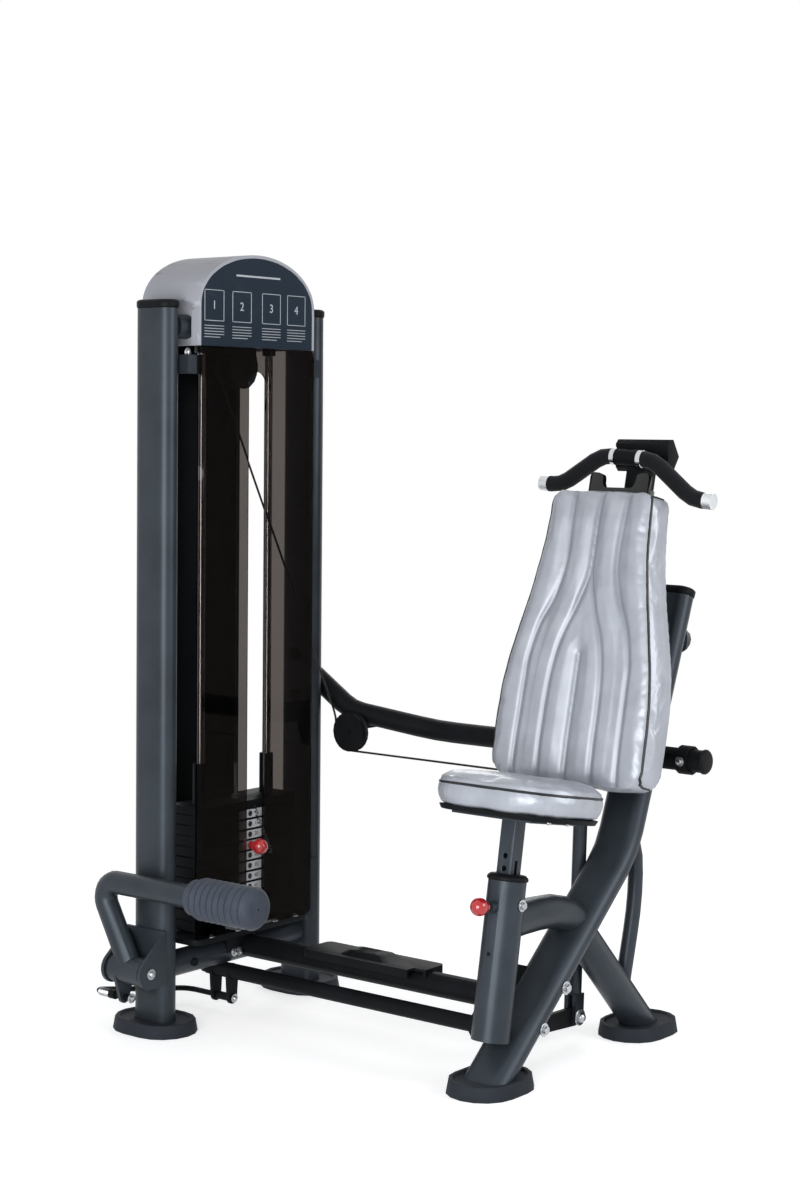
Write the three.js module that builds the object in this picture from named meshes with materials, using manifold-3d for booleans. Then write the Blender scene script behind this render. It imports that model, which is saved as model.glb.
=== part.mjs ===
// Triceps extension machine: a weight tower, a seat with a backrest, and a handle bar that
// slides up behind the backrest. Millimetres, +Z up. While it is drawn, X runs from the tower
// to the seat, the user faces -Y, and the tower's middle is at X = 0 and Y = 0.
import * as THREE from 'three';
import { mergeVertices } from 'three/addons/utils/BufferGeometryUtils.js';
import Module from 'manifold-3d';

const wasm = await Module();
wasm.setup();

// Driving dimensions
const clearance = 0.3;
const overrun = 2;
const turn = 2 * Math.PI;

const tower = { spacing: 468, top: 1550, tubeBottom: 10, wall: 3 };
const ovalTube = { length: 100, width: 50 };
const endCap = { height: 18, overlap: 2, edge: 4 };
const footPad = { length: 195, width: 145, height: 28, taper: 5, rim: 8, recess: 5, step: 3 };
const shieldTab = { thickness: 4, height: 40, reach: 37, root: 40, bottom: 270, top: 1395 };

const topCross = { x: 20, z: 1495, radius: 26, sides: 14 };
const rodBoss = { radius: 15, bottom: 1442, blind: 18 };
const pulleyHanger = {
  thickness: 5, halfWidth: 44, gap: 2, pin: 5, plateY: 5, plateZ: 1411,
};
const guideRod = { x: 5, y: 107, radius: 9, sides: 12 };
const baseCross = { x: 3, z: 133, radius: 28 };
const basePlate = {
  back: -80, front: 75, halfWidth: 185, bottom: 178, top: 190, corner: 25,
  saddleHalf: 45, bufferRadius: 20, bufferHeight: 5.5,
};

const shroud = {
  back: -97, front: 72, halfWidth: 184.5, bottom: 1455, shoulder: 1543, rise: 112, wall: 4, rim: 7, rimDepth: 8,
  notchTop: 1550, notchFront: 50, notchRound: 25, insetHalf: 169.5, archSteps: 10,
};
const signPanel = { thickness: 4, fit: 0.6 };
const shield = {
  front: 72, thickness: 4, slotHalf: 28, slotBottom: 225, slotTop: 1403, corner: 12,
};
const spinePanel = { thickness: 3, halfWidth: 98, top: 1495, x: -76, corner: 10 };

const stack = {
  halfLength: 150, depth: 102, pitch: 23.07, gap: 0.5, firstHole: 438, topHeight: 17.5, corner: 6,
  groove: 1.5, holeRadius: 11, pinHoleRadius: 5.4, pinReach: 51, lowerPlates: 7, pinPlate: 3,
};
const guideSleeve = { radius: 15, height: 88 };
const selectorRod = { radius: 10, bottom: 200 };
const cableFitting = { x: 10, radius: 4, hexRadius: 9, hexHeight: 9, top: 545 };
const selectorPin = { radius: 4.9, collarRadius: 9, collarEnd: 78, ballRadius: 17.5, ballX: 86 };
const lanyard = { wire: 1, coil: 3.6, curls: 13, stepsPerCurl: 8, sides: 5 };

const cable = {
  radius: 2.5, sides: 6, towerX: 10, planeY: 262, runZ: 554, arriveAbove: 30, arriveRadius: 100,
  wrapSteps: 10,
};
const pulley = { rim: 4, halfWidth: 9, bore: 6, lipShare: 0.5, sides: 20 };
const topPulley = { y: -32, z: 1411, pitchRadius: 32 };
const outerPulley = { x: 123, pitchRadius: 43 };
const turningPulley = { pitchRadius: 34 };
const pulleyArm = { thickness: 5, halfWidth: 12, gap: 2 };

const beam = { y: 30, z: 137, radius: 25, wall: 3 };
const beamFlange = { back: 738, front: 764, length: 130, height: 62, slope: 42 };
const footPlate = {
  left: 223, right: 540, front: -16, back: 76, thickness: 6, skirt: 12, domeLeft: 310,
  domeRight: 445, domeRise: 12, domeSlope: 18, notchWidth: 30, notchDepth: 24, corner: 14,
};

const torqueTube = { y: -17, z: 87, radius: 17, left: -50, right: 737, sides: 12 };
const torquePivot = { radius: 7, length: 15, bossRadius: 15, plateBack: -62, plateThickness: 8 };
const rightBearing = { x: 690, thickness: 9, radius: 27 };
const torqueLug = { leftX: -28, rightX: 20, thickness: 8, length: 60, endRadius: 13 };
const crank = {
  x: 731, thickness: 10, y: 272, z: 52, rootRadius: 22, endRadius: 20, pin: 8,
  bendY: 50, bendZ: 62, bendRadius: 15,
};

const pedal = {
  y: -305, z: 140, hubRadius: 30, hubHalf: 45, tubeRadius: 25, bendX: -101,
  bendRadius: 34, gripZ: 320, gripStart: 181, lugLength: 60, lugThickness: 8, lugRadius: 13, pin: 9,
};
const clevis = { x: 50, thickness: 8, noseRadius: 33, top: 222, bottom: 108, backThickness: 6 };
const pedalGrip = {
  length: 180, ribs: 9, ribRadius: 44, grooveRadius: 41, neckRadius: 37, neckLength: 22,
  endRadius: 42, endLength: 22, bore: 22.5, sides: 12, hole: 4,
};
const linkRod = { radius: 6, barrelRadius: 10, outerX: -112, sleeveRadius: 9, bend: 25, sides: 8 };

const pushRod = {
  radius: 15, topY: 295, topZ: 615, cheek: 9, eyeBore: 10.5, sides: 14,
};

const seatX = 799;
const seatPost = {
  bottomY: -119, bottomZ: 96, topY: -66.4, topZ: 402, radius: 38, wall: 3, capHeight: 13, capLip: 3,
  pinDrop: 52, bossRadius: 12, bossLength: 16, slotHalf: 5, slotLength: 70, slotDrop: 30,
};
const sFrame = {
  footY: -117, heelY: -92, heelZ: 46, waistY: 325, waistZ: 403, topY: 532, topZ: 928,
  waistRadius: 190, wall: 3,
};
const archBrace = { radius: 35, startZ: 319, crestY: 118, crestZ: 316, endY: 262, endZ: 226, wall: 3 };
const rearLeg = { startY: 215, startZ: 226, endY: 425, endZ: 16, radius: 35 };
const bowTube = { radius: 16, topY: 392, topZ: 420, midY: 397, midZ: 300, endY: 352, endZ: 108 };
const upperTube = {
  radius: 24, wall: 3, startX: -26, startY: 284, startZ: 728, y: 356, z: 606, end: 987,
  bendX: 300, bendRadius: 300, dipX: 95, dipY: 298, dipZ: 640, dipRadius: 110, flangeThickness: 8, flangeTop: 790, flangeBottom: 640,
  collarX: 948, collarWidth: 26, collarWall: 5,
};
const upperCap = { length: 10, lip: 2 };

const lean = { run: 0.2366, y: 262, z: 607 };
const guideTube = { half: 30, bore: 22.8, bottom: 800, top: 1150, eyeX: 757, eyeHeight: 14 };
const carriage = { half: 22.5, wall: 3, bottom: 656, plate: 6, top: 1190, cableHole: 6 };
const headBlock = {
  half: 65, front: 402, back: 446, bottom: 1197, top: 1265, bevel: 9, shoulder: 423, waist: 1229,
};
const lifter = { height: 10, drop: 2, left: 709, right: 825, front: -16, back: 42, rod: 6 };
const lifterEar = { thickness: 6, height: 52, halfDepth: 15, pinRadius: 4.5 };
const supportTube = { radius: 28, frontY: 336, frontZ: 920, rearY: 567, rearZ: 827, wall: 3, cap: 6 };

const seatPad = {
  halfWidth: 163, halfDepth: 136, corner: 112, side: 63, crown: 14, board: 10, setBack: 22,
  drawIn: 5,
};
const seatSlider = { half: 17, wall: 3, up: 522, down: 235, holePitch: 25, holes: 8, hole: 5 };
const seatPlate = { halfX: 95, halfY: 80, thickness: 5 };
const seatPin = {
  radius: 5, ballRadius: 18, reach: 76, neckRadius: 9, tipGap: 0.5, neckGap: 7,
};

const backrest = {
  baseY: 115.4, baseZ: 583.6, widestHalf: 183, topHalf: 117, length: 610, thickness: 70,
  bottomRounding: 42, topRounding: 24, flareShare: 0.085,
  crown: 7, channel: 6, channelWidth: 11, rows: 23, endSteps: 5, columns: 16, foot: -14,
};
const backShell = {
  thickness: 16, drawIn: 22, spacer: 14, tongueHalf: 72, tongueThickness: 13, tongueRise: 47,
  notchHalf: 40, notchDepth: 32, neckRise: 14, round: 10,
};

const handle = {
  y: 349, z: 1227, tilt: -4, radius: 13, straight: 62, dropX: 162, drop: 72, reach: 192,
  sleeveRadius: 16.5, ringRadius: 18.5, ringWidth: 11, gripRadius: 17.5,
  capLength: 20, capRadius: 17, sleeveHalf: 38, pivotRadius: 9, sides: 10,
};

// Materials
function paint(color, roughness, metalness) {
  return new THREE.MeshStandardMaterial({ color, roughness, metalness });
}
const steelPaint = paint(0x3a4046, 0.42, 0.3);
const blackPaint = paint(0x17191c, 0.5, 0.1);
const chrome = paint(0xc9ccd0, 0.15, 1);
const zinc = paint(0xb4b8bc, 0.3, 1);
const aluminium = paint(0xaeb2b6, 0.3, 1);
const greyPlastic = paint(0xa8aab4, 0.5, 0);
const signPlastic = paint(0x2f3e4a, 0.45, 0);
const acrylic = paint(0x6b6460, 0.08, 0);
const rubber = paint(0x343a42, 0.8, 0);
const gripRubber = paint(0x565d6c, 0.75, 0);
const leatherette = paint(0xb9bec8, 0.5, 0);
const foam = paint(0x16171a, 0.9, 0);
const redPlastic = paint(0xc8202a, 0.25, 0);
const cableJacket = paint(0x101114, 0.5, 0);

// Places and directions as three.js matrices
const X = new THREE.Vector3(1, 0, 0);
const Y = new THREE.Vector3(0, 1, 0);
const Z = new THREE.Vector3(0, 0, 1);

function vector(x, y, z) {
  return new THREE.Vector3(x, y, z);
}

function frameAt(origin, xAxis, yAxis, zAxis) {
  return new THREE.Matrix4().makeBasis(xAxis, yAxis, zAxis).setPosition(origin);
}

// A closed solid from a closed geometry, with its faces turned outwards
function solid(geometry) {
  const bare = geometry.clone();
  bare.deleteAttribute('normal');
  bare.deleteAttribute('uv');
  const merged = mergeVertices(bare);
  const position = merged.attributes.position;
  const corners = [vector(0, 0, 0), vector(0, 0, 0), vector(0, 0, 0)];
  const kept = [];
  let volume = 0;
  for (let i = 0; i < merged.index.count; i += 3) {
    const [a, b, c] = [0, 1, 2].map((step) => merged.index.getX(i + step));
    if (a === b || b === c || c === a) continue;
    kept.push(a, b, c);
    [a, b, c].forEach((index, step) => corners[step].fromBufferAttribute(position, index));
    volume += corners[0].dot(corners[1].cross(corners[2]));
  }
  if (volume < 0) kept.reverse();
  return new wasm.Manifold(new wasm.Mesh({
    numProp: 3,
    vertProperties: new Float32Array(position.array),
    triVerts: new Uint32Array(kept),
  }));
}

function joined(...solids) {
  return solids.reduce((sum, next) => sum.add(next));
}

function cut(body, ...tools) {
  return tools.reduce((rest, tool) => rest.subtract(tool), body);
}

// Plain forms
function box([x0, x1], [y0, y1], [z0, z1], matrix = new THREE.Matrix4()) {
  const geometry = new THREE.BoxGeometry(x1 - x0, y1 - y0, z1 - z0);
  geometry.translate((x0 + x1) / 2, (y0 + y1) / 2, (z0 + z1) / 2);
  return solid(geometry.applyMatrix4(matrix));
}

function cylinder(radius, from, to, sides = 12, endRadius = radius) {
  const axis = to.clone().sub(from);
  const geometry = new THREE.CylinderGeometry(endRadius, radius, axis.length(), sides);
  const middle = from.clone().add(to).divideScalar(2);
  const rotation = new THREE.Quaternion().setFromUnitVectors(Y, axis.normalize());
  geometry.applyQuaternion(rotation);
  return solid(geometry.translate(middle.x, middle.y, middle.z));
}

function pipe(radius, wall, from, to, sides = 16) {
  const along = to.clone().sub(from).setLength(overrun);
  const bore = cylinder(radius - wall, from.clone().sub(along), to.clone().add(along), sides);
  return cut(cylinder(radius, from, to, sides), bore);
}

function ball(radius, centre, sides = 12) {
  const geometry = new THREE.SphereGeometry(radius, sides, sides / 2);
  return solid(geometry.translate(centre.x, centre.y, centre.z));
}

// Revolved about the line from origin along axis; profile points are [radius, height]
function turned(profile, origin, axis, sides = 18) {
  const points = profile.map(([radius, height]) => new THREE.Vector2(radius, height));
  const geometry = new THREE.LatheGeometry(points, sides);
  const rotation = new THREE.Quaternion().setFromUnitVectors(Y, axis.clone().normalize());
  geometry.applyQuaternion(rotation);
  return solid(geometry.translate(origin.x, origin.y, origin.z));
}

// Outlines
function stadium(length, width, steps = 4) {
  const radius = width / 2;
  const straight = length / 2 - radius;
  const shape = new THREE.Shape();
  shape.absarc(straight, 0, radius, -turn / 4, turn / 4);
  shape.absarc(-straight, 0, radius, turn / 4, turn * 3 / 4);
  return new THREE.Shape(shape.extractPoints(steps).shape);
}

function roundedRectangle(x0, x1, y0, y1, radius, steps = 4) {
  const shape = new THREE.Shape();
  shape.absarc(x1 - radius, y0 + radius, radius, -turn / 4, 0);
  shape.absarc(x1 - radius, y1 - radius, radius, 0, turn / 4);
  shape.absarc(x0 + radius, y1 - radius, radius, turn / 4, turn / 2);
  shape.absarc(x0 + radius, y0 + radius, radius, turn / 2, turn * 3 / 4);
  return new THREE.Shape(shape.extractPoints(steps).shape);
}

function circle(radius, sides) {
  const points = [];
  for (let i = 0; i < sides; i++) {
    const angle = turn * i / sides;
    points.push(new THREE.Vector2(radius * Math.cos(angle), radius * Math.sin(angle)));
  }
  return new THREE.Shape(points);
}

function withHole(shape, hole) {
  shape.holes.push(new THREE.Path(hole.getPoints()));
  return shape;
}

// The plate outline round two circles, as a belt lies on two wheels
function linkOutline([ax, ay, aRadius], [bx, by, bRadius], steps = 4) {
  const direction = Math.atan2(by - ay, bx - ax);
  const spread = Math.acos((aRadius - bRadius) / Math.hypot(bx - ax, by - ay));
  const shape = new THREE.Shape();
  shape.absarc(ax, ay, aRadius, direction + spread, direction + turn - spread);
  shape.absarc(bx, by, bRadius, direction - spread, direction + spread);
  return new THREE.Shape(shape.extractPoints(steps).shape);
}

function polygon(points) {
  return new THREE.Shape(points.map(([x, y]) => new THREE.Vector2(x, y)));
}

// Prisms of an outline drawn in (Y, Z), (X, Z) or (X, Y)
function prism(shape, length, matrix) {
  const geometry = new THREE.ExtrudeGeometry(shape, { depth: length, bevelEnabled: false });
  return solid(geometry.applyMatrix4(matrix));
}

function prismX(shape, from, to) {
  return prism(shape, to - from, frameAt(vector(from, 0, 0), Y, Z, X));
}

function prismY(shape, from, to) {
  return prism(shape, to - from, frameAt(vector(0, to, 0), X, Z, Y.clone().negate()));
}

function prismZ(shape, from, to, matrix = new THREE.Matrix4()) {
  const lifted = new THREE.Matrix4().makeTranslation(0, 0, from);
  return prism(shape, to - from, lifted.premultiply(matrix));
}

// A solid through a stack of rings with equal counts of points, closed by a fan at each end
function loft(rings) {
  const count = rings[0].length;
  const positions = [];
  const indices = [];
  rings.forEach((ring) => ring.forEach((point) => positions.push(point.x, point.y, point.z)));
  for (let level = 0; level + 1 < rings.length; level++) {
    for (let i = 0; i < count; i++) {
      const a = level * count + i;
      const b = level * count + (i + 1) % count;
      indices.push(a, b, b + count, a, b + count, a + count);
    }
  }
  [0, rings.length - 1].forEach((level) => {
    const middle = vector(0, 0, 0);
    rings[level].forEach((point) => middle.addScaledVector(point, 1 / count));
    const centre = positions.length / 3;
    positions.push(middle.x, middle.y, middle.z);
    for (let i = 0; i < count; i++) {
      const a = level * count + i;
      const b = level * count + (i + 1) % count;
      if (level === 0) indices.push(b, a, centre);
      else indices.push(a, b, centre);
    }
  });
  const geometry = new THREE.BufferGeometry();
  geometry.setAttribute('position', new THREE.Float32BufferAttribute(positions, 3));
  geometry.setIndex(indices);
  return solid(geometry);
}

function stadiumRing(length, width, z, matrix = new THREE.Matrix4()) {
  const outline = stadium(length, width).getPoints();
  return outline.map((point) => vector(point.x, point.y, z).applyMatrix4(matrix));
}

// A route of straight runs with round bends, for tubes and cables
class Route extends THREE.Curve {
  constructor(points, tangents) {
    super();
    this.points = points;
    this.tangents = tangents;
  }

  getSpacedPoints() {
    return this.points;
  }

  getTangentAt(share) {
    return this.tangents[Math.round(share * (this.points.length - 1))].clone();
  }
}

// corners are [point, bend radius]; the first and the last have no bend
function bentRoute(corners, stepAngle = turn / 24) {
  const points = [corners[0][0].clone()];
  const tangents = [corners[1][0].clone().sub(corners[0][0]).normalize()];
  for (let i = 1; i + 1 < corners.length; i++) {
    const [corner, radius] = corners[i];
    const before = corner.clone().sub(corners[i - 1][0]).normalize();
    const after = corners[i + 1][0].clone().sub(corner).normalize();
    const angle = before.angleTo(after);
    const setBack = radius * Math.tan(angle / 2);
    const start = corner.clone().addScaledVector(before, -setBack);
    const inward = after.clone().addScaledVector(before, -after.dot(before)).normalize();
    const steps = Math.max(2, Math.ceil(angle / stepAngle));
    for (let step = 0; step <= steps; step++) {
      const swing = angle * step / steps;
      points.push(start.clone()
        .addScaledVector(before, radius * Math.sin(swing))
        .addScaledVector(inward, radius * (1 - Math.cos(swing))));
      tangents.push(before.clone().multiplyScalar(Math.cos(swing))
        .addScaledVector(inward, Math.sin(swing)));
    }
  }
  const last = corners.length - 1;
  points.push(corners[last][0].clone());
  tangents.push(corners[last][0].clone().sub(corners[last - 1][0]).normalize());
  return new Route(points, tangents);
}

// The same corners with both ends moved out, so that a bore runs through its tube's ends
function extended(corners) {
  const moved = corners.map(([point, radius]) => [point.clone(), radius]);
  const last = moved.length - 1;
  [[0, 1], [last, last - 1]].forEach(([end, next]) => {
    const outward = moved[end][0].clone().sub(moved[next][0]).setLength(overrun);
    moved[end][0].add(outward);
  });
  return moved;
}

function smoothRoute(points, steps) {
  const curve = new THREE.CatmullRomCurve3(points);
  const tangents = Array.from({ length: steps + 1 }, (_, i) => curve.getTangentAt(i / steps));
  return new Route(curve.getSpacedPoints(steps), tangents);
}

function swept(shape, route) {
  const steps = route.points.length - 1;
  return solid(new THREE.ExtrudeGeometry(shape, { steps, bevelEnabled: false, extrudePath: route }));
}

// Naming and grouping
const machine = new THREE.Group();
function section(name) {
  const group = new THREE.Group();
  group.name = name;
  machine.add(group);
  return group;
}
const towerGroup = section('weight_tower');
const middleGroup = section('beam_and_pedal');
const seatGroup = section('seat_side');

function add(group, name, shape, material) {
  const { vertProperties, triVerts } = shape.getMesh();
  const geometry = new THREE.BufferGeometry();
  geometry.setAttribute('position', new THREE.BufferAttribute(vertProperties, 3));
  geometry.setIndex(new THREE.BufferAttribute(triVerts, 1));
  geometry.computeVertexNormals();
  const mesh = new THREE.Mesh(geometry, material);
  mesh.name = name;
  group.add(mesh);
  return shape;
}

// Places that several pieces share
const uprightY = tower.spacing / 2;
const uprightInner = uprightY - ovalTube.width / 2;
const uprightOuter = uprightY + ovalTube.width / 2;
const halfOval = ovalTube.width / 2;

// Foot pads, each with a socket for the leg that stands in it
function padBody(x, y, alongX) {
  const turnPad = new THREE.Matrix4().makeRotationZ(alongX ? 0 : turn / 4).setPosition(x, y, 0);
  const { length, width, height, taper, rim, recess, step } = footPad;
  const ring = (inset, z) => stadiumRing(length - 2 * inset, width - 2 * inset, z, turnPad);
  return loft([
    ring(0, 0),
    ring(taper, height),
    ring(taper + rim, height),
    ring(taper + rim + step, height - recess),
  ]);
}

const aboveSocket = (gap) => box(
  [-tower.top, tower.top], [-tower.top, tower.top], [tower.tubeBottom - gap, tower.top],
);

function addPad(group, name, x, y, alongX, leg) {
  add(group, name, cut(padBody(x, y, alongX), leg.intersect(aboveSocket(clearance))), rubber);
}

// Uprights with their end caps
function uprightTube(y, grow) {
  const outline = stadium(ovalTube.length + 2 * grow, ovalTube.width + 2 * grow);
  const top = tower.top - endCap.height;
  return prismZ(outline, tower.tubeBottom, top, new THREE.Matrix4().setPosition(0, y, 0));
}

function shieldTabs(side) {
  const { thickness, height, reach, root, bottom, top } = shieldTab;
  const front = shield.front - shield.thickness - clearance;
  const inner = side * (uprightInner - reach);
  const wall = side * (uprightInner + tower.wall);
  const outer = side * (uprightInner - thickness);
  return [bottom, top].map((z) => joined(
    box([front - thickness, front], [inner, wall].sort((a, b) => a - b), [z, z + height]),
    box([front - root, front], [outer, wall].sort((a, b) => a - b), [z, z + height]),
  ));
}

function addUpright(name, side) {
  const y = side * uprightY;
  const inner = stadium(ovalTube.length - 2 * tower.wall, ovalTube.width - 2 * tower.wall);
  const bore = prismZ(
    inner, tower.tubeBottom - overrun, tower.top, new THREE.Matrix4().setPosition(0, y, 0),
  );
  const tube = joined(uprightTube(y, 0), ...shieldTabs(side));
  add(towerGroup, `${name}_upright`, cut(tube, bore), steelPaint);
  addPad(towerGroup, `${name}_upright_pad`, 0, y, true, uprightTube(y, clearance));
  add(towerGroup, `${name}_upright_cap`, capBody(
    frameAt(vector(0, y, tower.top - endCap.height), X, Y, Z),
  ), blackPaint);
}

// A moulded cap on the oval tube: a plug, a lip and a rounded edge
function capBody(matrix) {
  const { height, overlap, edge } = endCap;
  const plug = 2 * (tower.wall + clearance);
  const ring = (change, z) => stadiumRing(
    ovalTube.length + change, ovalTube.width + change, z, matrix,
  );
  return loft([
    ring(-plug, -height),
    ring(-plug, clearance),
    ring(2 * overlap, clearance),
    ring(2 * overlap, height - edge),
    ring(2 * overlap - edge, height - edge / 4),
    ring(2 * overlap - 3 * edge, height),
  ]);
}

addUpright('near', -1);
addUpright('far', 1);

// Top cross tube with the bosses of the guide rods and the hanger of the top pulley
const innerEnd = uprightInner - clearance;

function hangerCheek(side) {
  const inner = cable.towerX + side * (pulley.halfWidth + pulleyHanger.gap);
  const outer = inner + side * pulleyHanger.thickness;
  const { plateY, plateZ, halfWidth } = pulleyHanger;
  const outline = linkOutline([plateY, plateZ, halfWidth], [plateY, topCross.z, topCross.radius]);
  return prismX(outline, Math.min(inner, outer), Math.max(inner, outer));
}

const topCrossTube = cylinder(
  topCross.radius,
  vector(topCross.x, -innerEnd, topCross.z),
  vector(topCross.x, innerEnd, topCross.z),
  topCross.sides,
);
const rodTop = rodBoss.bottom + rodBoss.blind;
function rodBossBody(side) {
  const y = side * guideRod.y;
  const body = cylinder(
    rodBoss.radius, vector(guideRod.x, y, rodBoss.bottom), vector(guideRod.x, y, topCross.z),
  );
  const blind = cylinder(
    guideRod.radius + clearance,
    vector(guideRod.x, y, rodBoss.bottom - overrun),
    vector(guideRod.x, y, rodTop + clearance),
    guideRod.sides,
  );
  return cut(body, blind);
}
const hangerReach = pulley.halfWidth + pulleyHanger.gap + pulleyHanger.thickness / 2;
const topAxle = cylinder(
  pulleyHanger.pin,
  vector(cable.towerX - hangerReach, topPulley.y, topPulley.z),
  vector(cable.towerX + hangerReach, topPulley.y, topPulley.z),
);
add(towerGroup, 'top_cross_tube', joined(
  topCrossTube, rodBossBody(-1), rodBossBody(1), hangerCheek(-1), hangerCheek(1), topAxle,
), steelPaint);

// Guide rods
function addGuideRod(name, side) {
  const y = side * guideRod.y;
  const bottom = basePlate.top + basePlate.bufferHeight - stack.topHeight / 2;
  const rod = cylinder(
    guideRod.radius, vector(guideRod.x, y, bottom), vector(guideRod.x, y, rodTop), guideRod.sides,
  );
  add(towerGroup, `${name}_guide_rod`, rod, chrome);
}
addGuideRod('near', -1);
addGuideRod('far', 1);

// Base cross tube with the left bearing plate of the torque tube
const baseTubeSolid = (grow) => cylinder(
  baseCross.radius + grow,
  vector(baseCross.x, -innerEnd, baseCross.z),
  vector(baseCross.x, innerEnd, baseCross.z),
  topCross.sides,
);
const bearingPlate = prismX(
  linkOutline(
    [torqueTube.y, torqueTube.z, torquePivot.bossRadius],
    [torqueTube.y, baseCross.z, baseCross.radius],
  ),
  torquePivot.plateBack,
  torquePivot.plateBack + torquePivot.plateThickness,
);
const bearingBridge = box(
  [torquePivot.plateBack + torquePivot.plateThickness / 2, baseCross.x],
  [torqueTube.y - torquePivot.bossRadius, torqueTube.y + torquePivot.bossRadius],
  [baseCross.z - 2 * torquePivot.plateThickness, baseCross.z - clearance],
);
const pivotHole = cylinder(
  torquePivot.radius + clearance,
  vector(torquePivot.plateBack - overrun, torqueTube.y, torqueTube.z),
  vector(torquePivot.plateBack + torquePivot.plateThickness + overrun, torqueTube.y, torqueTube.z),
);
add(towerGroup, 'base_cross_tube', cut(
  joined(baseTubeSolid(0), bearingPlate, bearingBridge), pivotHole,
), steelPaint);

const beamAt = (x) => vector(x, beam.y, beam.z);
const beamSolid = (grow, to) => cylinder(beam.radius + grow, beamAt(0), beamAt(to), 16);

// Base plate on a saddle, with a buffer seat under each end of the stack
const plateSlab = prismZ(
  roundedRectangle(
    basePlate.back, basePlate.front, -basePlate.halfWidth, basePlate.halfWidth, basePlate.corner,
  ),
  basePlate.bottom, basePlate.top,
);
const saddle = box(
  [baseCross.x - baseCross.radius, baseCross.x + baseCross.radius],
  [-basePlate.saddleHalf, basePlate.saddleHalf],
  [baseCross.z, basePlate.bottom + overrun],
);
const buffers = [-1, 1].map((side) => cylinder(
  basePlate.bufferRadius,
  vector(guideRod.x, side * guideRod.y, basePlate.bottom + overrun),
  vector(guideRod.x, side * guideRod.y, basePlate.top + basePlate.bufferHeight),
));
const rodSockets = [-1, 1].map((side) => cylinder(
  guideRod.radius + clearance,
  vector(
    guideRod.x, side * guideRod.y,
    basePlate.top + basePlate.bufferHeight - stack.topHeight / 2 - clearance,
  ),
  vector(guideRod.x, side * guideRod.y, basePlate.top + 2 * basePlate.bufferHeight),
  guideRod.sides,
));
add(towerGroup, 'base_plate', cut(
  joined(plateSlab, saddle, ...buffers),
  baseTubeSolid(clearance), beamSolid(clearance, beamFlange.back), ...rodSockets,
), blackPaint);

// Shroud: an arched moulding with a notch in each side, hollow and open below and in front
function archOutline(inset) {
  const half = shroud.halfWidth - inset;
  const shape = new THREE.Shape();
  shape.moveTo(half, shroud.bottom - (inset ? overrun : 0));
  for (let i = 0; i <= shroud.archSteps; i++) {
    const angle = turn / 2 * i / shroud.archSteps;
    const height = Math.sin(angle) * (shroud.rise - inset);
    shape.lineTo(half * Math.cos(angle), shroud.shoulder + height);
  }
  shape.lineTo(-half, shroud.bottom - (inset ? overrun : 0));
  return shape;
}

function sideOutline(inset) {
  const { back, front, notchFront, notchTop, notchRound } = shroud;
  const top = shroud.shoulder + shroud.rise;
  const bottom = shroud.bottom - overrun;
  const open = inset ? overrun : 0;
  const shape = new THREE.Shape();
  shape.moveTo(notchFront + inset, bottom);
  shape.lineTo(front + open, bottom);
  shape.lineTo(front + open, top + overrun);
  shape.lineTo(back + inset, top + overrun);
  shape.lineTo(back + inset, notchTop + inset);
  shape.absarc(
    notchFront + inset - notchRound, notchTop + inset - notchRound, notchRound,
    turn / 4, 0, true,
  );
  return shape;
}

function shroudForm(inset) {
  const half = shroud.halfWidth;
  const arch = prismX(
    archOutline(inset), shroud.back - overrun, shroud.front + (inset ? 2 : 1) * overrun,
  );
  const sides = prismY(sideOutline(inset), -half - overrun, half + overrun);
  const insetHalf = shroud.insetHalf - inset;
  const core = box(
    [shroud.back + inset, shroud.notchFront + (inset ? inset + overrun : 0)],
    [-insetHalf, insetHalf],
    [shroud.bottom - (inset ? overrun : 0), shroud.notchTop + shroud.wall + inset],
  );
  return joined(arch.intersect(sides), core);
}

const shroudHole = cylinder(
  topCross.radius + clearance,
  vector(topCross.x, -innerEnd, topCross.z),
  vector(topCross.x, innerEnd, topCross.z),
  topCross.sides,
);
const shroudRim = cut(
  prismX(archOutline(0), shroud.front - shroud.rimDepth, shroud.front),
  prismX(archOutline(shroud.rim), shroud.front - 2 * shroud.rimDepth, shroud.front + overrun),
);
add(towerGroup, 'shroud', joined(
  cut(shroudForm(0), shroudForm(shroud.wall), shroudHole), shroudRim,
), greyPlastic);

const signOutline = archOutline(shroud.rim + signPanel.fit);
const signSlab = prismX(signOutline, shroud.front - signPanel.thickness, shroud.front);
const belowSign = box(
  [0, tower.top], [-tower.top, tower.top], [0, shroud.bottom + clearance],
);
add(towerGroup, 'sign_panel', cut(signSlab, belowSign), signPlastic);

// Shield with its slot, and the spine panel behind the stack
function slotOutline() {
  const shape = new THREE.Shape();
  shape.absarc(0, shield.slotTop - shield.slotHalf, shield.slotHalf, 0, turn / 2);
  shape.lineTo(-shield.slotHalf, shield.slotBottom);
  shape.lineTo(shield.slotHalf, shield.slotBottom);
  return new THREE.Shape(shape.extractPoints(8).shape);
}
add(towerGroup, 'front_shield', prismX(
  withHole(
    roundedRectangle(
      -basePlate.halfWidth, basePlate.halfWidth, basePlate.top + clearance, shroud.bottom - clearance,
      shield.corner,
    ),
    slotOutline(),
  ),
  shield.front - shield.thickness, shield.front,
), acrylic);

const spineSlab = prismX(
  roundedRectangle(
    -spinePanel.halfWidth, spinePanel.halfWidth, basePlate.top + clearance, spinePanel.top,
    spinePanel.corner,
  ),
  spinePanel.x, spinePanel.x + spinePanel.thickness,
);
const spineLip = box(
  [spinePanel.x, topCross.x - topCross.radius - clearance],
  [-spinePanel.halfWidth + spinePanel.corner, spinePanel.halfWidth - spinePanel.corner],
  [spinePanel.top - spinePanel.thickness, spinePanel.top],
);
add(towerGroup, 'spine_panel', joined(spineSlab, spineLip), blackPaint);

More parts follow.
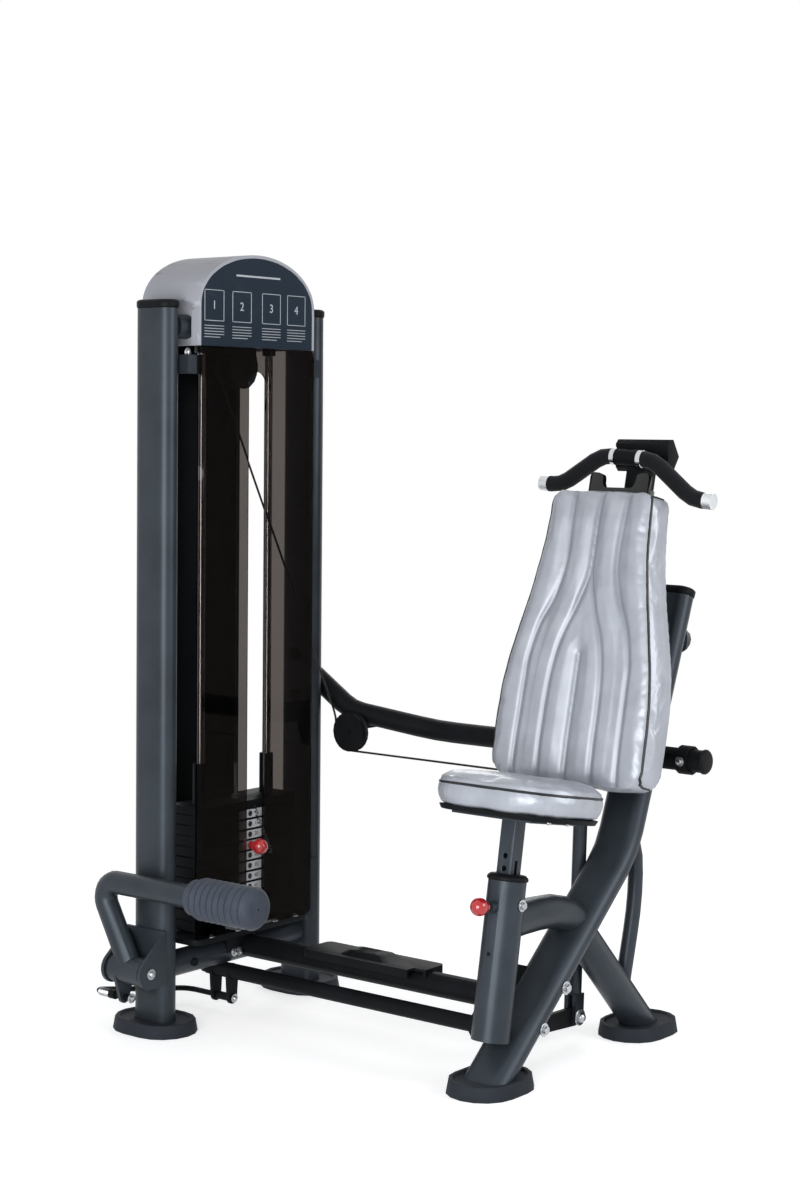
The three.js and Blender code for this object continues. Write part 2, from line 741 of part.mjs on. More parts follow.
// Weight stack. Plate i has its pin hole one pitch below plate i - 1
const plateHoleZ = (index) => stack.firstHole - index * stack.pitch;
const plateTop = (index) => plateHoleZ(index) + (stack.pitch - stack.gap) / 2;
const plateBottom = (index) => plateHoleZ(index) - (stack.pitch - stack.gap) / 2;
const stackFront = guideRod.x + stack.depth / 2;

function plateSection(inset) {
  return roundedRectangle(
    guideRod.x - stack.depth / 2 + inset, stackFront - inset,
    -stack.halfLength + inset, stack.halfLength - inset, stack.corner, 1,
  );
}

function rodBores(radius, bottom, top) {
  return [-guideRod.y, guideRod.y].map((y) => cylinder(
    radius, vector(guideRod.x, y, bottom), vector(guideRod.x, y, top), guideRod.sides,
  ));
}

const selectorBore = (bottom, top) => cylinder(
  selectorRod.radius + 2 * clearance, vector(guideRod.x, 0, bottom), vector(guideRod.x, 0, top), 8,
);

const pinHole = (z) => cylinder(
  stack.pinHoleRadius, vector(stackFront - stack.pinReach, 0, z), vector(stackFront + overrun, 0, z), 6,
);

// Plates that stay together, each parted from the next by a groove
function plateBlock(first, last) {
  const rings = [];
  const level = (inset, z) => {
    const outline = plateSection(inset).getPoints();
    rings.push(outline.map((point) => vector(point.x, point.y, z)));
  };
  for (let index = last; index >= first; index--) {
    level(stack.groove, plateBottom(index) - (index === last ? 0 : stack.gap / 2));
    level(0, plateBottom(index) + stack.groove);
    level(0, plateTop(index) - stack.groove);
  }
  level(stack.groove, plateTop(first));
  const bottom = plateBottom(last);
  const top = plateTop(first);
  let body = cut(
    loft(rings),
    ...rodBores(stack.holeRadius, bottom - overrun, top + overrun),
    selectorBore(bottom - overrun, top + overrun),
  );
  for (let index = first; index <= last; index++) body = cut(body, pinHole(plateHoleZ(index)));
  return body;
}
const lowerFirst = stack.pinPlate + 1;
add(towerGroup, 'lifted_plates', plateBlock(0, stack.pinPlate), blackPaint);
add(towerGroup, 'lower_stack', plateBlock(lowerFirst, stack.pinPlate + stack.lowerPlates), blackPaint);

const topPlateBottom = plateTop(0) + stack.gap;
const topPlateTop = topPlateBottom + stack.topHeight;
const sleeveTop = topPlateTop + guideSleeve.height;
const guideSleeves = [-1, 1].map((side) => cylinder(
  guideSleeve.radius,
  vector(guideRod.x, side * guideRod.y, topPlateTop - overrun),
  vector(guideRod.x, side * guideRod.y, sleeveTop),
));
add(towerGroup, 'top_plate', cut(
  joined(prismZ(plateSection(0), topPlateBottom, topPlateTop), ...guideSleeves),
  ...rodBores(guideRod.radius + clearance, topPlateBottom - overrun, sleeveTop + overrun),
), blackPaint);

function selectorRodBody() {
  let body = cylinder(
    selectorRod.radius,
    vector(guideRod.x, 0, selectorRod.bottom),
    vector(guideRod.x, 0, topPlateBottom - clearance),
    8,
  );
  const plates = stack.pinPlate + stack.lowerPlates;
  for (let index = 0; index <= plates; index++) {
    const z = plateHoleZ(index);
    body = cut(body, cylinder(
      selectorPin.radius + clearance, vector(guideRod.x - stack.pinReach, 0, z),
      vector(stackFront, 0, z), 6,
    ));
  }
  return body;
}
add(towerGroup, 'selector_rod', selectorRodBody(), chrome);

const fittingBase = topPlateTop + clearance;
add(towerGroup, 'cable_fitting', joined(
  cylinder(
    cableFitting.hexRadius, vector(cableFitting.x, 0, fittingBase),
    vector(cableFitting.x, 0, fittingBase + cableFitting.hexHeight), 6,
  ),
  cylinder(
    cableFitting.radius, vector(cableFitting.x, 0, fittingBase),
    vector(cableFitting.x, 0, cableFitting.top), 12,
  ),
), zinc);

// Selector pin with its red ball, and the curly lanyard that keeps it
const pinZ = plateHoleZ(stack.pinPlate);
const pinTip = vector(guideRod.x - selectorRod.radius / 2, 0, pinZ);
const collarStart = vector(stackFront + clearance, 0, pinZ);
const ballCentre = vector(selectorPin.ballX, 0, pinZ);
add(towerGroup, 'selector_pin', joined(
  cylinder(selectorPin.radius, pinTip, vector(selectorPin.ballX, 0, pinZ), 6),
  cylinder(selectorPin.collarRadius, collarStart, vector(selectorPin.collarEnd, 0, pinZ), 16),
  ball(selectorPin.ballRadius, ballCentre),
), redPlastic);

function lanyardBody() {
  const start = vector(
    stackFront + 2 * lanyard.coil, lanyard.coil, topPlateBottom + stack.topHeight / 3,
  );
  const end = vector(
    selectorPin.ballX + 2 * lanyard.coil, selectorPin.ballRadius + 3 * lanyard.coil,
    pinZ - selectorPin.ballRadius,
  );
  const axis = end.clone().sub(start);
  const length = axis.length();
  axis.normalize();
  const sideways = vector(0, 1, 0).addScaledVector(axis, -axis.y).normalize();
  const across = axis.clone().cross(sideways);
  const steps = lanyard.curls * lanyard.stepsPerCurl;
  const points = [];
  for (let i = 0; i <= steps; i++) {
    const angle = turn * i / lanyard.stepsPerCurl;
    points.push(start.clone()
      .addScaledVector(axis, length * i / steps)
      .addScaledVector(sideways, lanyard.coil * Math.cos(angle))
      .addScaledVector(across, lanyard.coil * Math.sin(angle)));
  }
  let least = Infinity;
  for (let i = 0; i < points.length; i++) {
    for (let j = i + lanyard.stepsPerCurl / 2; j < points.length; j++) {
      least = Math.min(least, points[i].distanceTo(points[j]) - 2 * lanyard.wire);
    }
  }
  console.log(`lanyard least gap to itself ${least.toFixed(2)} mm`);
  const tangents = points.map((_, i) => points[Math.min(i + 1, steps)].clone()
    .sub(points[Math.max(i - 1, 0)]).normalize());
  const rings = points.map((point, i) => {
    const outward = point.clone().sub(start)
      .addScaledVector(axis, -length * i / steps).normalize();
    const flat = tangents[i].clone().cross(outward).normalize();
    return Array.from({ length: lanyard.sides }, (_, side) => {
      const angle = turn * side / lanyard.sides;
      return point.clone()
        .addScaledVector(outward, lanyard.wire * Math.cos(angle))
        .addScaledVector(flat, lanyard.wire * Math.sin(angle));
    });
  });
  return loft(rings);
}
add(towerGroup, 'pin_lanyard', lanyardBody(), cableJacket);

// Pulleys with a groove
function pulleyBody(pitchRadius, centre, axis) {
  const { rim, halfWidth, bore, lipShare } = pulley;
  const floor = pitchRadius - cable.radius - 3 * clearance;
  const outer = pitchRadius + rim - cable.radius;
  const half = [[bore, -halfWidth], [outer, -halfWidth], [floor, -halfWidth * lipShare]];
  const mirrored = half.map(([radius, height]) => [radius, -height]).reverse();
  return turned([...half, ...mirrored, half[0]], centre, axis, pulley.sides);
}

const topPulleyCentre = vector(cable.towerX, topPulley.y, topPulley.z);
add(towerGroup, 'top_pulley', pulleyBody(topPulley.pitchRadius, topPulleyCentre, X), blackPaint);

const outerPulleyCentre = vector(
  outerPulley.x, cable.planeY, cable.runZ + outerPulley.pitchRadius,
);
const turningCentre = vector(
  seatX - turningPulley.pitchRadius, cable.planeY, cable.runZ + turningPulley.pitchRadius,
);
add(middleGroup, 'outer_pulley', pulleyBody(outerPulley.pitchRadius, outerPulleyCentre, Y), blackPaint);
add(middleGroup, 'turning_pulley', pulleyBody(turningPulley.pitchRadius, turningCentre, Y), blackPaint);

// Cables. The stack cable is the straight run above the weights
const cableSection = circle(cable.radius, cable.sides);
add(towerGroup, 'stack_cable', cylinder(
  cable.radius,
  vector(cable.towerX, 0, cableFitting.top + clearance),
  vector(cable.towerX, 0, topPulley.z - clearance),
  cable.sides,
), cableJacket);

const guideY = (z) => lean.y + lean.run * (z - lean.z);
const cableEnd = vector(seatX, guideY(guideTube.top), guideTube.top);
function runCableRoute() {
  const { y, z, pitchRadius } = topPulley;
  const arrive = vector(
    outerPulley.x - outerPulley.pitchRadius, cable.planeY, outerPulleyCentre.z + cable.arriveAbove,
  );
  const wrapAngle = turn / 2 + Math.atan2(arrive.y - y + pitchRadius, z - arrive.z);
  const angles = Array.from(
    { length: cable.wrapSteps + 1 }, (_, i) => wrapAngle * i / cable.wrapSteps,
  );
  const wrap = angles.map((angle) => vector(
    cable.towerX, y + pitchRadius * Math.cos(angle), z + pitchRadius * Math.sin(angle),
  ));
  const wrapTangents = angles.map((angle) => vector(0, -Math.sin(angle), Math.cos(angle)));
  const rest = bentRoute([
    [wrap[cable.wrapSteps], 0],
    [arrive, cable.arriveRadius],
    [vector(arrive.x, cable.planeY, cable.runZ), outerPulley.pitchRadius],
    [vector(seatX, cable.planeY, cable.runZ), turningPulley.pitchRadius],
    [vector(seatX, cable.planeY, turningCentre.z + turningPulley.pitchRadius / 2), 4 * cable.radius],
    [cableEnd, 0],
  ]);
  return new Route(
    [...wrap, ...rest.points.slice(1)],
    [...wrapTangents, ...rest.tangents.slice(1)],
  );
}
add(middleGroup, 'run_cable', swept(cableSection, runCableRoute()), cableJacket);

// S-shaped post: the oval tube bent twice, from the front pad up behind the backrest
const sSlope = (sFrame.waistY - sFrame.heelY) / (sFrame.waistZ - sFrame.heelZ);
const sCorners = [
  [vector(seatX, sFrame.heelY - sFrame.heelZ * sSlope, 0), 0],
  [vector(seatX, sFrame.waistY, sFrame.waistZ), sFrame.waistRadius],
  [vector(seatX, sFrame.topY, sFrame.topZ), 0],
];
function sTube(grow) {
  const outline = stadium(ovalTube.length + 2 * grow, ovalTube.width + 2 * grow);
  return swept(outline, bentRoute(sCorners, turn / 24)).intersect(aboveSocket(grow));
}
const supportFront = vector(seatX, supportTube.frontY, supportTube.frontZ);
const supportRear = vector(seatX, supportTube.rearY, supportTube.rearZ);
const supportBody = (grow) => cylinder(supportTube.radius + grow, supportFront, supportRear, 14);
const sBore = swept(
  stadium(ovalTube.length - 2 * sFrame.wall, ovalTube.width - 2 * sFrame.wall),
  bentRoute(extended(sCorners), turn / 24),
);
add(seatGroup, 's_frame', cut(sTube(0), sBore, supportBody(clearance)), steelPaint);
addPad(seatGroup, 'front_seat_pad', seatX, sFrame.footY, false, sTube(clearance));

const sEnd = sCorners[2][0];
const sEndAxis = sEnd.clone().sub(sCorners[1][0]).normalize();
add(seatGroup, 's_frame_cap', capBody(
  frameAt(sEnd, X, sEndAxis.clone().cross(X), sEndAxis),
), blackPaint);

// Guide tube in the lean of the backrest, and the support tube that carries it
const leanAxis = vector(0, lean.run, 1).normalize();
const leanBack = vector(0, 1, -lean.run).normalize();
const alongLean = (z) => (z - lean.z) / leanAxis.z;
const leanFrame = frameAt(vector(seatX, lean.y, lean.z), X, leanBack, leanAxis);

function squareTube(half, bore, z0, z1) {
  const range = [alongLean(z0), alongLean(z1)];
  const body = box([-half, half], [-half, half], range, leanFrame);
  if (!bore) return body;
  return cut(body, box(
    [-bore, bore], [-bore, bore], [range[0] - overrun, range[1] + overrun], leanFrame,
  ));
}

const eyeX = guideTube.eyeX - seatX;
const eyeHalf = 2 * lifter.rod;
const guideEye = cut(
  box(
    [eyeX - eyeHalf, -guideTube.half + overrun], [-eyeHalf, eyeHalf],
    [alongLean(guideTube.bottom), alongLean(guideTube.bottom) + guideTube.eyeHeight], leanFrame,
  ),
  cylinder(
    lifter.rod + clearance,
    vector(eyeX, 0, alongLean(guideTube.bottom) - overrun).applyMatrix4(leanFrame),
    vector(eyeX, 0, alongLean(guideTube.bottom) + 2 * guideTube.eyeHeight).applyMatrix4(leanFrame),
    12,
  ),
);
const guideSolid = squareTube(guideTube.half, 0, guideTube.bottom, guideTube.top);
add(seatGroup, 'guide_tube', joined(
  squareTube(guideTube.half, guideTube.bore, guideTube.bottom, guideTube.top), guideEye,
  cut(supportBody(0), guideSolid),
), steelPaint);

// Carriage: a square tube that slides in the guide tube, and its head block
const carriageBottom = alongLean(carriage.bottom);
const carriageFoot = cut(
  box(
    [-carriage.half, carriage.half], [-carriage.half, carriage.half],
    [carriageBottom, carriageBottom + carriage.plate], leanFrame,
  ),
  cylinder(
    carriage.cableHole,
    vector(0, 0, carriageBottom - overrun).applyMatrix4(leanFrame),
    vector(0, 0, carriageBottom + 2 * carriage.plate).applyMatrix4(leanFrame),
    12,
  ),
);
function headBlockOutline() {
  const { front, back, bottom, top, bevel, shoulder, waist } = headBlock;
  return polygon([
    [front + bevel, bottom], [shoulder, bottom], [back, waist], [shoulder, top],
    [front + bevel, top], [front, top - bevel], [front, bottom + bevel],
  ]);
}
const headBody = prismX(headBlockOutline(), seatX - headBlock.half, seatX + headBlock.half);
const pivotBore = cylinder(
  handle.pivotRadius + clearance,
  vector(seatX, headBlock.front - overrun, handle.z),
  vector(seatX, headBlock.back + overrun, handle.z),
);
add(seatGroup, 'carriage', joined(
  squareTube(carriage.half, carriage.half - carriage.wall, carriage.bottom, carriage.top),
  carriageFoot,
  cut(headBody, pivotBore),
  cut(
    squareTube(carriage.half, 0, carriage.top, headBlock.bottom + headBlock.bevel / 2),
    headBody,
  ),
), blackPaint);

// Handle bar: straight in the middle, sloping down to level ends, tilted about its pivot
const handleCentre = vector(seatX, handle.y, handle.z);
const handleTilt = new THREE.Matrix4().makeTranslation(handleCentre)
  .multiply(new THREE.Matrix4().makeRotationY(-handle.tilt * Math.PI / 180));
const onHandle = (x, z, y = 0) => vector(x, y, z).applyMatrix4(handleTilt);
const levelStart = handle.dropX;
const handleBend = 5.5 * handle.radius;
const handleEndX = handle.reach + handle.capLength / 2;
const handleRoute = bentRoute([
  [onHandle(-handleEndX, -handle.drop), 0],
  [onHandle(-levelStart, -handle.drop), handleBend],
  [onHandle(-handle.straight, 0), handleBend],
  [onHandle(handle.straight, 0), handleBend],
  [onHandle(levelStart, -handle.drop), handleBend],
  [onHandle(handleEndX, -handle.drop), 0],
], turn / 10);
const handleBar = swept(circle(handle.radius, handle.sides), handleRoute);
const handleEnds = [-1, 1].map((side) => cylinder(
  handle.capRadius,
  onHandle(side * handle.reach, -handle.drop),
  onHandle(side * (handle.reach + handle.capLength), -handle.drop),
  20,
));
add(seatGroup, 'handle_bar', joined(handleBar, ...handleEnds), aluminium);

function gripBody(side) {
  const route = bentRoute([
    [onHandle(side * handle.sleeveHalf, 0), 0],
    [onHandle(side * handle.straight, 0), handleBend],
    [onHandle(side * levelStart, -handle.drop), handleBend],
    [onHandle(side * (handle.reach - clearance), -handle.drop), 0],
  ], turn / 10);
  return cut(
    swept(circle(handle.gripRadius, handle.sides), route),
    swept(circle(handle.radius + clearance, handle.sides), handleRoute),
  );
}
add(seatGroup, 'left_grip', gripBody(-1), foam);
add(seatGroup, 'right_grip', gripBody(1), foam);

// Centre sleeve with a ring at each end and the pivot that turns in the head block
function sleeveProfile() {
  const { sleeveHalf, ringWidth, ringRadius, sleeveRadius, radius } = handle;
  const bore = radius + 3 * clearance;
  const half = sleeveHalf - clearance;
  return [
    [bore, -half], [ringRadius, -half], [ringRadius, ringWidth - half],
    [sleeveRadius, ringWidth - half], [sleeveRadius, half - ringWidth],
    [ringRadius, half - ringWidth], [ringRadius, half], [bore, half], [bore, -half],
  ];
}
const tiltedX = X.clone().transformDirection(handleTilt);
const pivotPin = cylinder(
  handle.pivotRadius,
  vector(seatX, handle.y + handle.radius + 2 * clearance, handle.z),
  vector(seatX, headBlock.shoulder, handle.z),
);
const pivotNeck = cylinder(
  2 * handle.pivotRadius,
  vector(seatX, handle.y + handle.radius + 2 * clearance, handle.z),
  vector(seatX, headBlock.front - clearance, handle.z),
);
add(seatGroup, 'centre_sleeve', joined(
  turned(sleeveProfile(), handleCentre, tiltedX, 10), pivotPin, pivotNeck,
), foam);

// Lifter: a saddle under the carriage, with ears for the push rod and its own guide rod
const saddleTop = carriageBottom - clearance;
const saddleBody = box(
  [lifter.left - seatX, lifter.right - seatX], [lifter.front, lifter.back],
  [saddleTop - lifter.height, saddleTop], leanFrame,
);
const lifterCableHole = cylinder(
  2 * carriage.cableHole,
  vector(0, 0, saddleTop - 2 * lifter.height).applyMatrix4(leanFrame),
  vector(0, 0, saddleTop + overrun).applyMatrix4(leanFrame),
  16,
);
const lifterRod = cylinder(
  lifter.rod,
  vector(eyeX, 0, saddleTop - lifter.drop).applyMatrix4(leanFrame),
  vector(eyeX, 0, alongLean(guideTube.bottom) + 3 * guideTube.eyeHeight).applyMatrix4(leanFrame),
  12,
);
function lifterEarBody(side) {
  const inner = crank.x + side * (pushRod.radius + clearance) - seatX;
  const outer = inner + side * lifterEar.thickness;
  const back = pushRod.topY - lean.y;
  return box(
    [Math.min(inner, outer), Math.max(inner, outer)],
    [back - lifterEar.halfDepth, back + lifterEar.halfDepth],
    [saddleTop - lifterEar.height, saddleTop - lifter.drop],
    leanFrame,
  );
}
const pushTop = vector(crank.x, pushRod.topY, pushRod.topZ);
const pushPin = cylinder(
  lifterEar.pinRadius,
  pushTop.clone().addScaledVector(X, -pushRod.radius - lifterEar.thickness),
  pushTop.clone().addScaledVector(X, pushRod.radius + lifterEar.thickness),
  12,
);
add(seatGroup, 'lifter', joined(
  cut(saddleBody, lifterCableHole), lifterRod, lifterEarBody(-1), lifterEarBody(1), pushPin,
), steelPaint);

// Torque tube with two lugs, the crank plate and its pins
const crankEnd = vector(crank.x, crank.y, crank.z);
const crankFrom = crank.x - crank.thickness / 2;
const crankTo = crank.x + crank.thickness / 2;
const torqueAt = (x) => vector(x, torqueTube.y, torqueTube.z);
const torqueBar = cylinder(
  torqueTube.radius, torqueAt(torqueTube.left), torqueAt(torqueTube.right), torqueTube.sides,
);
const torqueLugs = [torqueLug.leftX, torqueLug.rightX].map((x) => prismX(
  linkOutline(
    [torqueTube.y, torqueTube.z, torqueTube.radius + clearance],
    [torqueTube.y, torqueTube.z - torqueLug.length, torqueLug.endRadius],
  ),
  x - torqueLug.thickness / 2, x + torqueLug.thickness / 2,
));
const lugPinAt = (x) => vector(x, torqueTube.y, torqueTube.z - torqueLug.length);
const linkBore = linkRod.radius + clearance;
const torqueLugHoles = cylinder(
  linkBore,
  lugPinAt(torqueLug.leftX - torqueLug.thickness),
  lugPinAt(torqueLug.rightX + torqueLug.thickness),
  12,
);
const crankBend = [crank.bendY, crank.bendZ, crank.bendRadius];
const crankPlate = joined(
  prismX(
    linkOutline([torqueTube.y, torqueTube.z, crank.rootRadius], crankBend), crankFrom, crankTo,
  ),
  prismX(linkOutline(crankBend, [crank.y, crank.z, crank.endRadius]), crankFrom, crankTo),
);
const crankPin = cylinder(
  crank.pin,
  crankEnd.clone().addScaledVector(X, -pushRod.radius - crank.thickness / 2),
  crankEnd.clone().addScaledVector(X, pushRod.radius + crank.thickness / 2),
  16,
);
const leftStub = cylinder(
  torquePivot.radius,
  torqueAt(torqueTube.left - torquePivot.length),
  torqueAt(torqueTube.left + overrun),
  16,
);
add(middleGroup, 'torque_tube', joined(
  cut(joined(torqueBar, ...torqueLugs), torqueLugHoles), crankPlate, crankPin, leftStub,
), steelPaint);

// Push rod: a fork on the crank pin, a round bar, and an eye at the lifter
const rodAxis = pushTop.clone().sub(crankEnd).normalize();
const rodSide = rodAxis.clone().cross(X);
const rodFrame = frameAt(crankEnd, X, rodSide, rodAxis);
const forkLength = 2 * crank.endRadius;
const forkSlot = box(
  [-crank.thickness / 2 - clearance, crank.thickness / 2 + clearance],
  [-2 * crank.endRadius, 2 * crank.endRadius],
  [-forkLength, crank.endRadius + 3 * pushRod.cheek], rodFrame,
);
const forkBody = box(
  [-pushRod.radius, pushRod.radius], [-pushRod.radius, pushRod.radius],
  [-pushRod.radius, forkLength + pushRod.cheek], rodFrame,
);
const rodBar = cylinder(
  pushRod.radius,
  crankEnd.clone().addScaledVector(rodAxis, forkLength),
  pushTop,
  pushRod.sides,
);
const rodEye = cylinder(
  pushRod.radius,
  pushTop.clone().addScaledVector(X, -pushRod.radius),
  pushTop.clone().addScaledVector(X, pushRod.radius),
);
const rodBore = (centre, radius) => cylinder(
  radius + clearance,
  centre.clone().addScaledVector(X, -2 * pushRod.radius),
  centre.clone().addScaledVector(X, 2 * pushRod.radius),
  16,
);
add(middleGroup, 'push_rod', cut(
  joined(forkBody, rodBar, rodEye),
  forkSlot, rodBore(crankEnd, crank.pin), rodBore(pushTop, pushRod.eyeBore),
), steelPaint);

// Main beam with the flange that lies against the S-shaped post
const flangeFrame = new THREE.Matrix4().makeRotationX(beamFlange.slope * Math.PI / 180)
  .setPosition(0, beam.y, beam.z);
const flangeBody = box(
  [beamFlange.back, beamFlange.front],
  [-beamFlange.length / 2, beamFlange.length / 2],
  [-beamFlange.height / 2, beamFlange.height / 2], flangeFrame,
);
const rightBearingPlate = prismX(
  linkOutline([torqueTube.y, torqueTube.z, rightBearing.radius], [beam.y, beam.z, beam.radius]),
  rightBearing.x, rightBearing.x + rightBearing.thickness,
);
const bearingBore = cylinder(
  (torqueTube.radius + clearance) / Math.cos(turn / 2 / torqueTube.sides),
  torqueAt(rightBearing.x - overrun),
  torqueAt(rightBearing.x + rightBearing.thickness + overrun),
  torqueTube.sides,
);
const beamBore = cylinder(beam.radius - beam.wall, beamAt(0), beamAt(beamFlange.back - overrun), 16);
add(middleGroup, 'main_beam', cut(
  joined(beamSolid(0, beamFlange.front), flangeBody, rightBearingPlate),
  beamBore, baseTubeSolid(clearance), bearingBore, sTube(clearance),
  box([-tower.top, baseCross.x], [-tower.top, tower.top], [0, tower.top]),
), steelPaint);

// Foot plate with a low dome and a notch
function footPlateBody() {
  const { left, right, front, back, thickness, skirt, corner } = footPlate;
  const top = beam.z + beam.radius + clearance + thickness;
  const slab = prismZ(
    roundedRectangle(left, right, front, back, corner), top - thickness - skirt, top,
  );
  const hollow = box(
    [left + thickness, right - thickness], [front + thickness, back - thickness],
    [top - thickness - skirt - overrun, top - thickness],
  );
  const domeRing = (inset, z) => roundedRectangle(
    footPlate.domeLeft + inset, footPlate.domeRight - inset, front + corner + inset / 2,
    back - corner - inset / 2, corner,
  ).getPoints().map((point) => vector(point.x, point.y, z));
  const dome = loft([
    domeRing(0, top - thickness / 2),
    domeRing(0, top),
    domeRing(footPlate.domeSlope, top + footPlate.domeRise * 0.8),
    domeRing(2 * footPlate.domeSlope, top + footPlate.domeRise),
  ]);
  const notch = box(
    [right - footPlate.notchWidth, right + overrun],
    [front - overrun, front + footPlate.notchDepth],
    [top - skirt - 2 * thickness, top + overrun],
  );
  return cut(
    joined(slab, dome), hollow.subtract(dome), notch, beamSolid(clearance, beamFlange.back),
  );
}
add(middleGroup, 'foot_plate', footPlateBody(), blackPaint);

// Pedal bracket on the near upright
const clevisBack = -uprightOuter - clearance;
const pedalAt = (x, z = pedal.z) => vector(x, pedal.y, z);
const pedalTubeEnd = pedal.gripStart + pedalGrip.length - pedalGrip.endLength;
const pedalRoute = bentRoute([
  [pedalAt(0), 0],
  [pedalAt(pedal.bendX, pedal.gripZ), pedal.bendRadius],
  [pedalAt(pedalTubeEnd, pedal.gripZ), 0],
], turn / 24);
const pedalTube = (grow) => swept(circle(pedal.tubeRadius + grow, 12), pedalRoute);

function clevisCheek(side) {
  const inner = side * clevis.x;
  const outer = inner + side * clevis.thickness;
  const shape = new THREE.Shape();
  shape.moveTo(clevisBack, clevis.bottom);
  shape.lineTo(clevisBack, clevis.top);
  shape.absarc(pedal.y, pedal.z, clevis.noseRadius, turn * 0.36, turn * 0.72);
  const outline = new THREE.Shape(shape.extractPoints(6).shape);
  return prismX(outline, Math.min(inner, outer), Math.max(inner, outer));
}
const clevisSpan = clevis.x + clevis.thickness;
const clevisPlate = box(
  [-clevisSpan, clevisSpan], [clevisBack - clevis.backThickness, clevisBack],
  [clevis.bottom, clevis.top],
);
const clevisPin = cylinder(pedal.pin, pedalAt(-clevisSpan), pedalAt(clevisSpan), 16);
add(middleGroup, 'pedal_bracket', joined(
  cut(clevisCheek(-1), pedalTube(overrun)), clevisCheek(1), clevisPlate, clevisPin,
), steelPaint);

// Pedal lever: hub, lug for the link rod, and the bent tube that carries the grip
const pedalHub = cylinder(pedal.hubRadius, pedalAt(-pedal.hubHalf), pedalAt(pedal.hubHalf), 14);
const pedalStub = cylinder(
  pedalGrip.bore - 4 * clearance,
  pedalAt(pedal.gripStart - pedal.tubeRadius, pedal.gripZ),
  pedalAt(pedalTubeEnd, pedal.gripZ),
);
const stubCut = box(
  [pedal.gripStart - clearance, tower.top], [-tower.top, 0], [pedal.z, tower.top],
);
const pedalLug = prismX(
  linkOutline(
    [pedal.y, pedal.z, pedal.hubRadius], [pedal.y, pedal.z - pedal.lugLength, pedal.lugRadius],
  ),
  -pedal.lugThickness / 2 - pedal.hubHalf / 2, pedal.lugThickness / 2 - pedal.hubHalf / 2,
);
const linkHeight = pedal.z - pedal.lugLength;
const pedalLugHole = cylinder(
  linkBore, pedalAt(-pedal.hubHalf, linkHeight), pedalAt(0, linkHeight), 12,
);
const pedalBore = cylinder(
  pedal.pin + clearance, pedalAt(-clevisSpan), pedalAt(clevisSpan), 16,
);
add(middleGroup, 'pedal_lever', cut(
  joined(pedalHub, cut(pedalTube(0), stubCut), pedalStub, pedalLug), pedalBore, pedalLugHole,
), steelPaint);

// Ribbed rubber grip with a neck and a domed end
function gripProfile() {
  const { length, ribs, ribRadius, grooveRadius, neckRadius, neckLength } = pedalGrip;
  const { endRadius, endLength, bore, hole } = pedalGrip;
  const ribPitch = (length - neckLength - endLength) / ribs;
  const boreEnd = length - endLength + clearance;
  const points = [[bore, 0], [neckRadius, 0], [neckRadius, neckLength]];
  for (let rib = 0; rib < ribs; rib++) {
    const start = neckLength + rib * ribPitch;
    points.push([grooveRadius, start + ribPitch / 6]);
    points.push([ribRadius, start + ribPitch * 2 / 3]);
  }
  points.push([grooveRadius, length - endLength]);
  for (let step = 0; step < 4; step++) {
    const angle = turn / 4 * step / 4;
    points.push([
      endRadius * Math.cos(angle), length - endLength + 2 + (endLength - 2) * Math.sin(angle),
    ]);
  }
  points.push([hole, length], [hole, length - hole], [0, length - hole]);
  points.push([0, boreEnd], [bore, boreEnd], [bore, 0]);
  return points;
}
add(middleGroup, 'pedal_grip', turned(
  gripProfile().slice(0, -1).concat([[pedalGrip.bore, 0]]),
  pedalAt(pedal.gripStart, pedal.gripZ), X, pedalGrip.sides,
), gripRubber);

// Link rod on the outer side of the near upright
const linkEnd = torqueLug.rightX + torqueLug.thickness;
const linkRoute = bentRoute([
  [pedalAt(0, linkHeight), 0],
  [pedalAt(linkRod.outerX, linkHeight), linkRod.bend],
  [vector(linkRod.outerX, torqueTube.y, torqueTube.z - torqueLug.length), linkRod.bend],
  [lugPinAt(linkEnd), 0],
], turn / 16);
const linkBarrel = cylinder(
  linkRod.barrelRadius,
  pedalAt(linkRod.outerX + 2 * linkRod.bend, linkHeight),
  pedalAt(-pedal.hubHalf - 2 * clearance, linkHeight),
);
const linkSleeve = cylinder(
  linkRod.sleeveRadius,
  lugPinAt(torqueLug.leftX + torqueLug.thickness),
  lugPinAt(torqueLug.rightX - torqueLug.thickness),
);
add(middleGroup, 'link_rod', joined(
  swept(circle(linkRod.radius, linkRod.sides), linkRoute), linkBarrel, linkSleeve,
), zinc);

// Front seat post with its cap
const postBottom = vector(seatX, seatPost.bottomY, seatPost.bottomZ);
const postTop = vector(seatX, seatPost.topY, seatPost.topZ);
const postAxis = postTop.clone().sub(postBottom).normalize();
const postBack = postAxis.clone().cross(X);
const postFrame = frameAt(postTop, X, postBack, postAxis);
const onPost = (x, back, along) => vector(x, back, along).applyMatrix4(postFrame);
const postSolid = (grow) => cylinder(seatPost.radius + grow, postBottom, postTop, 20);
const postBoss = cylinder(
  seatPost.bossRadius,
  onPost(0, -seatPost.radius + seatPost.wall, -seatPost.pinDrop),
  onPost(0, -seatPost.radius - seatPost.bossLength, -seatPost.pinDrop),
);
const postPinHole = cylinder(
  seatPin.radius + clearance,
  onPost(0, 0, -seatPost.pinDrop),
  onPost(0, -2 * seatPost.radius, -seatPost.pinDrop),
  12,
);
const postBore = cylinder(
  seatPost.radius - seatPost.wall, onPost(0, 0, -2 * seatPost.topZ), onPost(0, 0, overrun), 20,
);
add(seatGroup, 'seat_post', cut(
  joined(cut(postSolid(0), postBore), postBoss), postPinHole, sTube(clearance),
), steelPaint);

